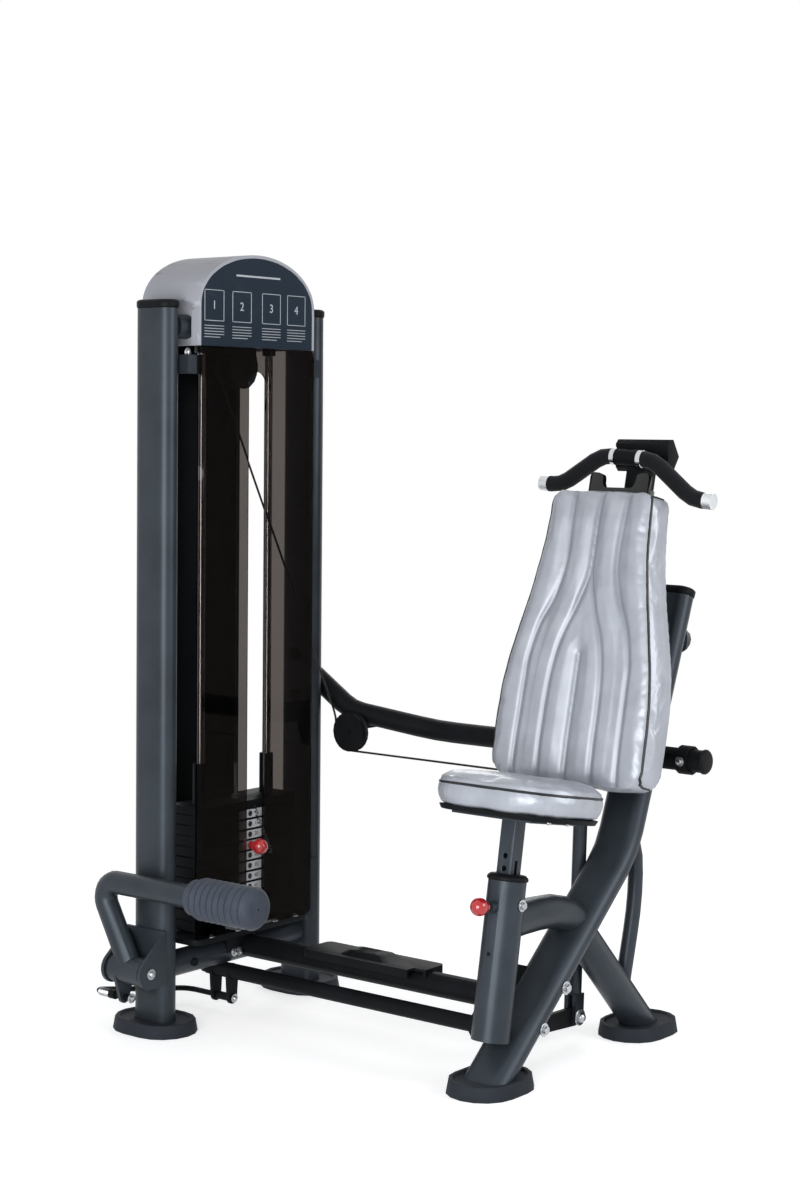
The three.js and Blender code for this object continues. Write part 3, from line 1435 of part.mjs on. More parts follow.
const sliderHole = box(
  [-seatSlider.half - clearance, seatSlider.half + clearance],
  [-seatSlider.half - clearance, seatSlider.half + clearance],
  [-2 * seatPost.capHeight, 2 * seatPost.capHeight], postFrame,
);
const capProfile = [
  [0, -seatPost.capHeight], [seatPost.radius - seatPost.wall - clearance, -seatPost.capHeight],
  [seatPost.radius - seatPost.wall - clearance, clearance],
  [seatPost.radius + seatPost.capLip, clearance],
  [seatPost.radius + seatPost.capLip, seatPost.capHeight - 2 * seatPost.capLip],
  [seatPost.radius - seatPost.capLip, seatPost.capHeight], [0, seatPost.capHeight],
];
add(seatGroup, 'seat_post_cap', cut(turned(capProfile, postTop, postAxis, 20), sliderHole), blackPaint);

// Arch brace, rear leg and bow tube
const postAtBrace = seatPost.bottomY
  + (archBrace.startZ - seatPost.bottomZ) * postAxis.y / postAxis.z;
const archRoute = smoothRoute([
  vector(seatX, postAtBrace, archBrace.startZ),
  vector(seatX, (postAtBrace + archBrace.crestY) / 2, archBrace.startZ + overrun),
  vector(seatX, archBrace.crestY, archBrace.crestZ - 4 * overrun),
  vector(seatX, archBrace.endY, archBrace.endZ),
], 7);
const afterS = (side) => {
  const mid = vector(seatX, sFrame.heelY, sFrame.heelZ);
  const along = vector(0, sFrame.waistY - sFrame.heelY, sFrame.waistZ - sFrame.heelZ).normalize();
  const out = along.clone().cross(X).multiplyScalar(side);
  return box(
    [-ovalTube.length, ovalTube.length], [-tower.top, tower.top], [0, tower.top],
    frameAt(mid, X, along, X.clone().cross(along).multiplyScalar(out.z > 0 ? 1 : -1)),
  );
};
const archBody = swept(circle(archBrace.radius, 12), archRoute);
const archBore = swept(circle(archBrace.radius - archBrace.wall, 12), archRoute);
add(seatGroup, 'arch_brace', cut(
  cut(archBody, archBore), postSolid(clearance), sTube(clearance),
).intersect(afterS(-1)), steelPaint);

const legStart = vector(seatX, rearLeg.startY, rearLeg.startZ);
const legEnd = vector(seatX, rearLeg.endY, rearLeg.endZ);
const legAxis = legEnd.clone().sub(legStart).normalize();
const legRun = legStart.distanceTo(legEnd);
const legSolid = (grow) => cylinder(
  rearLeg.radius + grow,
  legStart.clone().addScaledVector(legAxis, -2 * rearLeg.radius),
  legStart.clone().addScaledVector(legAxis, legRun + rearLeg.radius), 20,
).intersect(aboveSocket(grow));
add(seatGroup, 'rear_leg', cut(legSolid(0), sTube(clearance)).intersect(afterS(1)), steelPaint);
addPad(seatGroup, 'rear_seat_pad', seatX, rearLeg.endY - footPad.rim, false, legSolid(clearance));

const bowRoute = smoothRoute([
  vector(seatX, bowTube.topY - 2 * bowTube.radius, bowTube.topZ + 2 * bowTube.radius),
  vector(seatX, bowTube.topY, bowTube.topZ - bowTube.radius),
  vector(seatX, bowTube.midY, bowTube.midZ),
  vector(seatX, bowTube.endY, bowTube.endZ),
], 9);
add(seatGroup, 'bow_tube', cut(
  swept(circle(bowTube.radius, 12), bowRoute), sTube(clearance), legSolid(clearance),
), steelPaint);

// Upper tube, bolted to the far upright, with arms for the pulleys, a collar and an end cap
const upperCorners = [
  [vector(upperTube.startX, upperTube.startY, upperTube.startZ), 0],
  [vector(upperTube.dipX, upperTube.dipY, upperTube.dipZ), upperTube.dipRadius],
  [vector(upperTube.bendX, upperTube.y, upperTube.z), upperTube.bendRadius],
  [vector(upperTube.end, upperTube.y, upperTube.z), 0],
];
const upperSolid = swept(circle(upperTube.radius, 12), bentRoute(upperCorners, turn / 15));
const upperFlange = box(
  [-halfOval, halfOval],
  [uprightOuter + clearance, uprightOuter + clearance + upperTube.flangeThickness],
  [upperTube.flangeBottom, upperTube.flangeTop],
);
function pulleyArmBody(centre) {
  const inner = cable.planeY + pulley.halfWidth + pulleyArm.gap;
  const outline = linkOutline(
    [centre.x, centre.z, pulleyArm.halfWidth],
    [centre.x, upperTube.z, pulleyArm.halfWidth + clearance],
  );
  const plate = prismY(outline, inner, inner + pulleyArm.thickness);
  const block = box(
    [centre.x - pulleyArm.halfWidth, centre.x + pulleyArm.halfWidth],
    [inner, upperTube.y],
    [upperTube.z - pulleyArm.thickness, upperTube.z + pulleyArm.thickness],
  );
  const axle = cylinder(
    pulley.bore - clearance,
    vector(centre.x, cable.planeY - pulley.halfWidth - pulleyArm.gap, centre.z),
    vector(centre.x, inner + pulleyArm.thickness, centre.z),
    16,
  );
  return joined(plate, block, axle);
}
const upperBore = swept(
  circle(upperTube.radius - upperTube.wall, 12), bentRoute(extended(upperCorners), turn / 15),
);
const uprightClear = uprightTube(uprightY, clearance);
add(seatGroup, 'upper_tube', cut(
  joined(
    cut(upperSolid, upperBore), upperFlange, pulleyArmBody(outerPulleyCentre),
    pulleyArmBody(turningCentre),
  ),
  sTube(clearance), uprightClear,
), steelPaint);

const collarAt = (x) => vector(x, upperTube.y, upperTube.z);
add(seatGroup, 'upper_tube_collar', pipe(
  upperTube.radius + 4 * clearance + upperTube.collarWall, upperTube.collarWall,
  collarAt(upperTube.collarX - upperTube.collarWidth / 2),
  collarAt(upperTube.collarX + upperTube.collarWidth / 2), 16,
), blackPaint);
const upperPlug = upperTube.radius - upperTube.wall - 4 * clearance;
add(seatGroup, 'upper_tube_cap', turned([
  [0, -upperCap.length], [upperPlug, -upperCap.length], [upperPlug, clearance],
  [upperTube.radius + upperCap.lip, clearance],
  [upperTube.radius + upperCap.lip, upperCap.length / 2],
  [upperTube.radius - upperCap.lip, upperCap.length], [0, upperCap.length],
], collarAt(upperTube.end), X), blackPaint);

// Seat slider with its holes and plate, the seat pin, and the seat pad
const alongPost = (z) => (z - seatPost.topZ) / postAxis.z;
const sliderTop = alongPost(seatSlider.up);
const sliderBottom = alongPost(seatSlider.down);
function sliderBody() {
  const { half, wall, hole, holes, holePitch } = seatSlider;
  const bar = box([-half, half], [-half, half], [sliderBottom, sliderTop], postFrame);
  const hollow = box(
    [wall - half, half - wall], [wall - half, half - wall],
    [sliderBottom - overrun, sliderTop - wall], postFrame,
  );
  const plate = box(
    [-seatPlate.halfX, seatPlate.halfX], [-seatPlate.halfY, seatPlate.halfY],
    [sliderTop - overrun, sliderTop - overrun + seatPlate.thickness], postFrame,
  );
  let body = joined(cut(bar, hollow), plate);
  for (let i = 0; i < holes; i++) {
    const along = -seatPost.pinDrop + (i - 3) * holePitch;
    body = cut(body, cylinder(
      hole + 2 * clearance, onPost(0, 0, along), onPost(0, -2 * half, along), 8,
    ));
  }
  const slot = box(
    [0, 2 * half], [-seatPost.slotHalf, seatPost.slotHalf],
    [-seatPost.slotDrop, -seatPost.slotDrop + seatPost.slotLength], postFrame,
  );
  return cut(body, slot);
}
add(seatGroup, 'seat_slider', sliderBody(), steelPaint);

const seatPinAt = (back) => onPost(0, back, -seatPost.pinDrop);
const pinInner = -seatSlider.half - seatPin.tipGap;
add(seatGroup, 'seat_pin', joined(
  cylinder(seatPin.radius, seatPinAt(pinInner), seatPinAt(-seatPin.reach), 14),
  cylinder(
    seatPin.neckRadius,
    seatPinAt(-seatPost.radius - seatPost.bossLength - seatPin.neckGap),
    seatPinAt(-seatPin.reach), 16,
  ),
  ball(seatPin.ballRadius, seatPinAt(-seatPin.reach - seatPin.ballRadius / 2)),
), redPlastic);

function seatRing(inset, along, back) {
  const { halfWidth, halfDepth, corner } = seatPad;
  const outline = roundedRectangle(
    -halfWidth + inset, halfWidth - inset, -halfDepth + inset, halfDepth - inset,
    Math.max(corner - inset, corner / 3), 5,
  );
  return outline.getPoints()
    .map((point) => onPost(point.x, point.y + back, along));
}
const padPlane = sliderTop - overrun + seatPlate.thickness + clearance;
const boardTop = padPlane + seatPad.board;
const padSide = seatPad.side - seatPad.board;
const padCentre = -seatPost.topY / postBack.y - seatPad.setBack - seatPad.halfDepth / 4;
add(seatGroup, 'seat_board', loft([
  seatRing(3 * seatPad.drawIn, padPlane, padCentre),
  seatRing(2 * seatPad.drawIn, boardTop - clearance, padCentre),
]), blackPaint);
add(seatGroup, 'seat_cushion', loft([
  seatRing(2 * seatPad.drawIn, boardTop, padCentre),
  seatRing(seatPad.drawIn / 2, boardTop + padSide / 4, padCentre),
  seatRing(0, boardTop + padSide / 2, padCentre),
  seatRing(seatPad.drawIn, boardTop + padSide, padCentre),
  seatRing(5 * seatPad.drawIn, boardTop + padSide + seatPad.crown * 0.6, padCentre),
  seatRing(12 * seatPad.drawIn, boardTop + padSide + seatPad.crown * 0.92, padCentre),
  seatRing(18 * seatPad.drawIn, boardTop + padSide + seatPad.crown, padCentre),
]), leatherette);

// Backrest: a cushion with channels, on a moulded shell with a notch at its top
const restFrame = frameAt(vector(seatX, backrest.baseY, backrest.baseZ), X, leanBack, leanAxis);

// how much of the step from the top to the widest place each height has
const restWidthShares = [
  [0, 0.93], [0.17, 1], [0.27, 0.985], [0.35, 0.93], [0.42, 0.84], [0.48, 0.72], [0.55, 0.575],
  [0.61, 0.44], [0.68, 0.32], [0.745, 0.21], [0.81, 0.135], [0.91, 0.06], [1, 0],
];

function restHalfWidth(share) {
  const { widestHalf, topHalf, length, bottomRounding, topRounding } = backrest;
  const next = Math.max(1, restWidthShares.findIndex(([place]) => place >= share));
  const [[low, lowWidth], [high, highWidth]] = restWidthShares.slice(next - 1, next + 1);
  const width = lowWidth + (highWidth - lowWidth) * (share - low) / (high - low);
  const full = topHalf + (widestHalf - topHalf) * width;
  const rounding = share < 1 / 2 ? bottomRounding : topRounding;
  const fromEnd = Math.min(share, 1 - share) * length;
  if (fromEnd >= rounding) return full;
  const drop = 1 - fromEnd / rounding;
  return full - rounding * (1 - Math.sqrt(Math.max(0, 1 - drop * drop)));
}

const channelShares = [-0.52, 0, 0.52];
function restSection(share) {
  const { thickness, crown, channel, channelWidth, columns, length, foot, flareShare } = backrest;
  const half = restHalfWidth(share);
  const edge = Math.sin(Math.PI * Math.min(1, Math.max(0, share)));
  const along = foot + share * length;
  const points = [];
  for (let i = 0; i <= columns; i++) {
    const across = -1 + 2 * i / columns;
    const x = half * Math.sin(across * turn / 4);
    const round = Math.cos(across * turn / 4);
    const lift = crown * Math.sqrt(round) * Math.min(1, 3 * edge);
    const dip = channelShares.reduce((sum, place) => {
      const offset = (x - place * half) / channelWidth;
      return sum + channel * Math.exp(-offset * offset) * Math.min(1, 4 * edge) * round;
    }, 0);
    points.push(vector(x, crown - lift + dip, along).applyMatrix4(restFrame));
  }
  const back = thickness - clearance;
  const sideSteps = 3;
  for (let i = 1; i <= sideSteps; i++) {
    const bulge = 1 + flareShare * Math.sin(turn / 4 * i / (sideSteps + 1));
    points.push(vector(half * bulge, crown + (back - crown) * i / (sideSteps + 1), along)
      .applyMatrix4(restFrame));
  }
  for (let i = 0; i <= 4; i++) {
    points.push(vector(half * (1 + flareShare) * (1 - i / 2), back, along).applyMatrix4(restFrame));
  }
  for (let i = sideSteps; i >= 1; i--) {
    const bulge = 1 + flareShare * Math.sin(turn / 4 * i / (sideSteps + 1));
    points.push(vector(-half * bulge, crown + (back - crown) * i / (sideSteps + 1), along)
      .applyMatrix4(restFrame));
  }
  return points;
}

function restShares() {
  const { length, bottomRounding, topRounding, rows, endSteps } = backrest;
  const bottomEnd = bottomRounding / length;
  const topEnd = topRounding / length;
  const easing = Array.from(
    { length: endSteps }, (_, i) => 1 - Math.cos(turn / 4 * i / endSteps),
  );
  const middle = rows - 2 * endSteps;
  const between = Array.from(
    { length: middle + 1 }, (_, i) => bottomEnd + (1 - bottomEnd - topEnd) * i / middle,
  );
  return [
    ...easing.map((share) => bottomEnd * share), ...between,
    ...easing.reverse().map((share) => 1 - topEnd * share),
  ];
}
add(seatGroup, 'backrest_cushion', loft(restShares().map(restSection)), leatherette);

// A slab behind the cushion, with a notched tongue that stands above the cushion's top edge
function shellOutline() {
  const { drawIn } = backShell;
  const { widestHalf, topHalf, foot, length, topRounding } = backrest;
  const [low, high] = [foot + drawIn, foot + length - drawIn];
  const [bottomX, topX] = [widestHalf - drawIn, topHalf - drawIn];
  const corner = topRounding;
  const shape = new THREE.Shape();
  shape.moveTo(-bottomX + corner, low);
  shape.lineTo(bottomX - corner, low);
  shape.quadraticCurveTo(bottomX, low, bottomX, low + corner);
  shape.lineTo(topX, high - corner);
  shape.quadraticCurveTo(topX, high, topX - corner, high);
  shape.lineTo(corner - topX, high);
  shape.quadraticCurveTo(-topX, high, -topX, high - corner);
  shape.lineTo(-bottomX, low + corner);
  shape.quadraticCurveTo(-bottomX, low, -bottomX + corner, low);
  return new THREE.Shape(shape.extractPoints(4).shape);
}

function tongueOutline(low) {
  const { tongueHalf, tongueRise, notchHalf, notchDepth, round } = backShell;
  const top = backrest.foot + backrest.length + tongueRise;
  const notch = top - notchDepth;
  const shape = new THREE.Shape();
  shape.moveTo(-tongueHalf, low);
  shape.lineTo(tongueHalf, low);
  shape.lineTo(tongueHalf, top - round);
  shape.quadraticCurveTo(tongueHalf, top, tongueHalf - round, top);
  shape.quadraticCurveTo(notchHalf, top, notchHalf, top - round);
  shape.quadraticCurveTo(notchHalf, notch, notchHalf - round, notch);
  shape.lineTo(round - notchHalf, notch);
  shape.quadraticCurveTo(-notchHalf, notch, -notchHalf, top - round);
  shape.quadraticCurveTo(-notchHalf, top, round - tongueHalf, top);
  shape.quadraticCurveTo(-tongueHalf, top, -tongueHalf, top - round);
  return new THREE.Shape(shape.extractPoints(3).shape);
}

function shellBody() {
  const { thickness, tongueHalf, tongueThickness, neckRise, drawIn, spacer } = backShell;
  const front = backrest.thickness;
  const cushionTop = backrest.foot + backrest.length;
  const standing = (back) => frameAt(
    vector(0, back, 0).applyMatrix4(restFrame), X, leanAxis, leanBack.clone().negate(),
  );
  const neck = box(
    [-tongueHalf, tongueHalf], [front, front + thickness],
    [cushionTop - 2 * drawIn, cushionTop + neckRise], restFrame,
  );
  const tongue = prism(
    tongueOutline(cushionTop + clearance), tongueThickness + clearance,
    standing(front + clearance),
  );
  const spacers = [guideTube.bottom, guideTube.top - 2 * spacer].map((z) => box(
    [-guideTube.half, guideTube.half], [-2 * guideTube.half, -guideTube.half - clearance],
    [alongLean(z), alongLean(z) + 2 * spacer], leanFrame,
  ));
  const cushionSpace = box(
    [-tower.top, tower.top], [0, front], [-tower.top, cushionTop + clearance / 2], restFrame,
  );
  const slab = prism(shellOutline(), thickness, standing(front + thickness));
  return joined(cut(joined(slab, ...spacers), cushionSpace), neck, tongue);
}
add(seatGroup, 'backrest_shell', shellBody(), blackPaint);

// The origin moves to the middle of the footprint, on the floor
machine.updateMatrixWorld(true);
const bounds = new THREE.Box3().setFromObject(machine, true);
const middle = bounds.getCenter(vector(0, 0, 0));
machine.position.set(-middle.x, -middle.y, -bounds.min.z);

export default machine;
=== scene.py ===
import math

import bmesh
import bpy
from mathutils import Matrix, Vector, noise
from mathutils.bvhtree import BVHTree


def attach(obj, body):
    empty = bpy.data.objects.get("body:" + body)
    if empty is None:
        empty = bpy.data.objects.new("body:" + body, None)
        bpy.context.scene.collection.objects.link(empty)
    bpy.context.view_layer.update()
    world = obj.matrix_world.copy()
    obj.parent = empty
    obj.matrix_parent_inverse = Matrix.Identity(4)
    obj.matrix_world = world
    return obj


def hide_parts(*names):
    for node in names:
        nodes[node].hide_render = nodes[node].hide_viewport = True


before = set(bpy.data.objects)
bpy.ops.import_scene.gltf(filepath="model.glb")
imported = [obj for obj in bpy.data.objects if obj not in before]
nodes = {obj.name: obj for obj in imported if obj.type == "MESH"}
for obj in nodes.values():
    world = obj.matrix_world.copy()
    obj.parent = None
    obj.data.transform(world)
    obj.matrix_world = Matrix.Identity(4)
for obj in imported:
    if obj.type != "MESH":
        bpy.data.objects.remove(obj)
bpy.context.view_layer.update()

# Places are in millimetres from the foot of the weight tower: X to the seat, Y to the back, Z up
towerFoot = Vector((-0.444372, -0.114229, 0))


def at(x, y, z):
    return towerFoot + Vector((x, y, z)) / 1000


print("camera")
camera = {
    "place": (3270.8, -3514.4, 1285.3), "yaw": 38.56, "pitch": -2.47, "roll": 0.489,
    "lens": 65.47, "shift": -0.0651, "near": 0.1, "far": 60,
}


def makeCamera():
    yaw, pitch, roll = (math.radians(camera[name]) for name in ("yaw", "pitch", "roll"))
    ahead = Vector((-math.sin(yaw) * math.cos(pitch), math.cos(yaw) * math.cos(pitch), math.sin(pitch)))
    level = Vector((math.cos(yaw), math.sin(yaw), 0))
    across = math.cos(roll) * level + math.sin(roll) * level.cross(ahead)
    turned = Matrix((across, across.cross(ahead), -ahead)).transposed()
    data = bpy.data.cameras.new("camera")
    data.lens = camera["lens"]
    data.shift_y = camera["shift"]
    data.clip_start, data.clip_end = camera["near"], camera["far"]
    item = bpy.data.objects.new("camera", data)
    item.matrix_world = Matrix.Translation(at(*camera["place"])) @ turned.to_4x4()
    bpy.context.scene.collection.objects.link(item)
    bpy.context.scene.camera = item


makeCamera()

print("materials")


def linear(code, alpha=1.0):
    channels = [int(code[i:i + 2], 16) / 255 for i in (1, 3, 5)]
    return [c / 12.92 if c <= 0.04045 else ((c + 0.055) / 1.055) ** 2.4 for c in channels] + [alpha]


def addNode(tree, kind, settings=None, links=None):
    node = tree.nodes.new(kind)
    for name, value in (settings or {}).items():
        if isinstance(name, int) or name in node.inputs:
            node.inputs[name].default_value = value
        else:
            setattr(node, name, value)
    for name, source in (links or {}).items():
        tree.links.new(source, node.inputs[name])
    return node


def blankMaterial(name):
    material = bpy.data.materials.new(name)
    material.use_nodes = True
    material.node_tree.nodes.clear()
    return material, material.node_tree


# what a finish has where its own list doesn't say otherwise; grain, mottle and bump are in millimetres
finishDefaults = {
    "mottle": 70, "mottleDetail": 3.0, "grainDetail": 2.0, "cells": False, "cellSoftness": 0.4,
    "stretch": (1, 1, 1), "fleck": 0.25, "toneFrom": 0.35, "toneTo": 0.85, "spread": 0.05,
    "strength": 0.6, "metallic": 0.0, "ior": 1.5, "coat": 0.0, "coatRoughness": 0.1,
    "sheen": 0.0, "clear": 0.0, "specular": 0.5, "paintedSeamShade": None,
}
finishes = {}


def makeFinish(name, spec):
    look = {**finishDefaults, **spec}
    material, tree = blankMaterial(name)
    place = addNode(tree, "ShaderNodeTexCoord").outputs["Object"]
    stretched = addNode(
        tree, "ShaderNodeMapping", {"Scale": look["stretch"]}, {"Vector": place},
    ).outputs["Vector"]
    # slow cloudy change of tone, with the fine grain on top
    cloud = addNode(
        tree, "ShaderNodeTexNoise",
        {"Scale": 1000 / look["mottle"], "Detail": look["mottleDetail"]}, {"Vector": place},
    ).outputs["Fac"]
    if look["cells"]:
        fine = addNode(
            tree, "ShaderNodeTexVoronoi", {
                "feature": "SMOOTH_F1", "Scale": 1000 / look["grain"],
                "Smoothness": look["cellSoftness"],
            }, {"Vector": stretched},
        ).outputs["Distance"]
    else:
        fine = addNode(
            tree, "ShaderNodeTexNoise",
            {"Scale": 1000 / look["grain"], "Detail": look["grainDetail"]}, {"Vector": stretched},
        ).outputs["Fac"]
    mixed = addNode(
        tree, "ShaderNodeMath", {"operation": "MULTIPLY_ADD", 1: look["fleck"]}, {0: fine, 2: cloud},
    ).outputs[0]
    tone = addNode(
        tree, "ShaderNodeMapRange", {"From Min": look["toneFrom"], "From Max": look["toneTo"]},
        {"Value": mixed},
    ).outputs["Result"]
    base = addNode(
        tree, "ShaderNodeMix",
        {"data_type": "RGBA", 6: linear(look["shade"]), 7: linear(look["colour"])}, {0: tone},
    ).outputs[2]
    # painted shade: the seam colour darkens the base along the carved channels, by the mask the cushion
    # carving stores
    if look["paintedSeamShade"]:
        seamShadeAmount = addNode(tree, "ShaderNodeAttribute", {"attribute_name": "seamShadeMask"}).outputs["Fac"]
        base = addNode(
            tree, "ShaderNodeMix", {"data_type": "RGBA", 7: linear(look["paintedSeamShade"])},
            {0: seamShadeAmount, 6: base},
        ).outputs[2]
    rough = addNode(
        tree, "ShaderNodeMapRange", {
            "To Min": look["roughness"] - look["spread"],
            "To Max": look["roughness"] + look["spread"],
        }, {"Value": cloud},
    ).outputs["Result"]
    relief = addNode(
        tree, "ShaderNodeBump", {"Strength": look["strength"], "Distance": look["bump"] / 1000},
        {"Height": fine},
    ).outputs["Normal"]
    shader = addNode(
        tree, "ShaderNodeBsdfPrincipled", {
            "Metallic": look["metallic"], "IOR": look["ior"], "Coat Weight": look["coat"],
            "Coat Roughness": look["coatRoughness"], "Sheen Weight": look["sheen"],
            "Transmission Weight": look["clear"], "Specular IOR Level": look["specular"],
        }, {"Base Color": base, "Roughness": rough, "Normal": relief},
    )
    addNode(tree, "ShaderNodeOutputMaterial", None, {"Surface": shader.outputs["BSDF"]})
    finishes[name] = material


finishSpecs = {
    # powder coat with a metallic fleck: soft wide highlights over a fine sparkle
    "powderCoatedSteel": {
        "colour": "#363d44", "shade": "#252b31", "roughness": 0.38, "metallic": 0.35, "specular": 0.2,
        "grain": 1.6, "bump": 0.03, "fleck": 0.5, "mottle": 120, "coat": 0.06, "coatRoughness": 0.4,
    },
    # black powder coat: plates and brackets, nearly even with a slight orange peel; on the main beam,
    # upper tube and torque tube it is painted shade, drawn in place of the frame's charcoal coat
    "blackCoatAndPaintedShade": {
        "colour": "#14171a", "shade": "#0b0d0f", "roughness": 0.55, "specular": 0.08, "grain": 1.8,
        "bump": 0.04, "mottle": 90, "fleck": 0.3,
    },
    # moulded nylon caps: dull black with a spark eroded grain
    "mouldedNylon": {
        "colour": "#131417", "shade": "#0b0c0e", "roughness": 0.5, "specular": 0.1, "grain": 0.9,
        "bump": 0.03, "fleck": 0.3,
    },
    # zinc plated fasteners: bright, slightly cloudy
    "zincPlate": {
        "colour": "#c4c7ca", "shade": "#9da1a5", "roughness": 0.3, "metallic": 1.0, "spread": 0.08,
        "grain": 0.8, "bump": 0.01, "mottle": 12,
    },
    # hard chrome on the guide rods: mirror bright with a few soft drag marks
    "hardChrome": {
        "colour": "#d9dbde", "shade": "#c3c6ca", "roughness": 0.1, "metallic": 1.0, "spread": 0.03,
        "grain": 3.0, "bump": 0.004, "stretch": (1, 1, 0.02), "mottle": 60,
    },
    # turned aluminium: rings of tool marks give a silky grey
    "turnedAluminium": {
        "colour": "#e4e6e8", "shade": "#cdd1d4", "roughness": 0.42, "metallic": 1.0,
        "grain": 1.2, "bump": 0.012, "stretch": (8, 1, 1), "mottle": 25,
    },
    # ABS cover: light grey with a fine even moulded grain
    "mouldedAbs": {
        "colour": "#abadb6", "shade": "#9c9ea7", "roughness": 0.45, "specular": 0.35, "grain": 0.9,
        "bump": 0.03, "mottle": 180,
    },
    # printed polycarbonate sign: smooth satin blue grey
    "satinSign": {
        "colour": "#26313d", "shade": "#202a34", "roughness": 0.4, "specular": 0.08, "grain": 1.4,
        "bump": 0.01, "mottle": 160,
    },
    # natural rubber pads: matt, slightly dusty
    "mouldedRubber": {
        "colour": "#272c33", "shade": "#1c2026", "roughness": 0.72, "specular": 0.2, "grain": 1.1,
        "bump": 0.06, "mottle": 45, "fleck": 0.4,
    },
    # soft grip rubber: matt blue grey with a dull bloom
    "gripRubber": {
        "colour": "#414854", "shade": "#333944", "roughness": 0.62, "specular": 0.25, "grain": 1.0,
        "bump": 0.05, "mottle": 35, "fleck": 0.3, "sheen": 0.1,
    },
    # closed cell foam: black with an open pored skin
    "closedFoam": {
        "colour": "#15161a", "shade": "#0b0c0e", "roughness": 0.88, "specular": 0.15, "grain": 1.3,
        "bump": 0.15, "mottle": 20, "fleck": 0.5, "cells": True, "sheen": 0.1,
    },
    # silver grey leatherette: pebbled about 1.5 mm, with a pearl sheen, and painted shade darkening the
    # channels
    "leatherette": {
        "colour": "#b0b5be", "shade": "#9ca1ab", "roughness": 0.38, "metallic": 0.2, "grain": 1.7,
        "bump": 0.08, "mottle": 55, "fleck": 0.15, "cells": True, "coat": 0.1, "coatRoughness": 0.3,
        # colour of the painted shade in the seam channels
        "paintedSeamShade": "#70757f",
    },
    # black vinyl piping: smooth with a soft shine
    "vinylPiping": {
        "colour": "#1d1f24", "shade": "#121317", "roughness": 0.35, "specular": 0.35, "grain": 1.0,
        "bump": 0.02, "mottle": 20,
    },
    # polished red phenolic knobs
    "phenolicRed": {
        "colour": "#b8141d", "shade": "#9c0f17", "roughness": 0.18, "grain": 2.0, "bump": 0.005,
        "mottle": 15, "coat": 0.6, "coatRoughness": 0.05,
    },
    # nylon jacket on the steel cable: smooth black, faint strand lines
    "cableJacket": {
        "colour": "#131417", "shade": "#0a0b0d", "roughness": 0.38, "specular": 0.35, "grain": 2.0,
        "bump": 0.03, "mottle": 15,
    },
    # vacuum formed gloss black shell
    "glossShell": {
        "colour": "#101114", "shade": "#0b0c0e", "roughness": 0.14, "specular": 0.3,
        "spread": 0.03, "grain": 6.0, "bump": 0.015, "mottle": 120, "coat": 0.3,
        "coatRoughness": 0.05,
    },
    # smoked acrylic: warm grey, clear, very slightly wavy
    "smokedAcrylic": {
        "colour": "#605a57", "shade": "#5b5552", "roughness": 0.03, "spread": 0.01, "ior": 1.49,
        "clear": 1.0, "specular": 0.06, "grain": 90.0, "bump": 0.02, "mottle": 300,
    },
    # printed vinyl labels: satin light grey, and their dark ink
    "labelVinyl": {
        "colour": "#d0d2d6", "shade": "#c2c4c9", "roughness": 0.45, "grain": 1.0, "bump": 0.01,
        "mottle": 30,
    },
    "labelInk": {
        "colour": "#1b1d21", "shade": "#16181b", "roughness": 0.45, "grain": 1.0, "bump": 0.01,
        "mottle": 30,
    },
    "signInk": {
        "colour": "#b4bac1", "shade": "#a8aeb5", "roughness": 0.4, "grain": 1.0, "bump": 0.01,
        "mottle": 30,
    },
}
for finishName, spec in finishSpecs.items():
    makeFinish(finishName, spec)

nodeFinishes = {
    "powderCoatedSteel": (
        "near_upright far_upright top_cross_tube base_cross_tube s_frame guide_tube lifter "
        "push_rod pedal_bracket pedal_lever seat_post arch_brace rear_leg bow_tube seat_slider"
    ),
    # main_beam, upper_tube and torque_tube get the black coat as painted shade; they carry the charcoal
    # frame paint
    "blackCoatAndPaintedShade": (
        "base_plate spine_panel lifted_plates lower_stack top_plate carriage foot_plate "
        "upper_tube_collar seat_board link_rod torque_tube main_beam upper_tube"
    ),
    "mouldedNylon": (
        "near_upright_cap far_upright_cap s_frame_cap seat_post_cap upper_tube_cap top_pulley "
        "outer_pulley turning_pulley centre_sleeve"
    ),
    "glossShell": "backrest_shell",
    "mouldedAbs": "shroud",
    "satinSign": "sign_panel",
    "smokedAcrylic": "front_shield",
    "hardChrome": "near_guide_rod far_guide_rod selector_rod",
    "zincPlate": "cable_fitting",
    "turnedAluminium": "handle_bar",
    "mouldedRubber": "near_upright_pad far_upright_pad front_seat_pad rear_seat_pad",
    "gripRubber": "pedal_grip",
    "closedFoam": "left_grip right_grip",
    "leatherette": "seat_cushion backrest_cushion",
    "phenolicRed": "selector_pin seat_pin",
    "cableJacket": "stack_cable run_cable pin_lanyard",
}


# faces meet smoothly below an angle in degrees, after corners closer than a weld in millimetres join
smoothing = {
    "weld": 0.02, "below": 38,
    "own": {"link_rod": 50, "pin_lanyard": 80, "run_cable": 70, "stack_cable": 70},
}


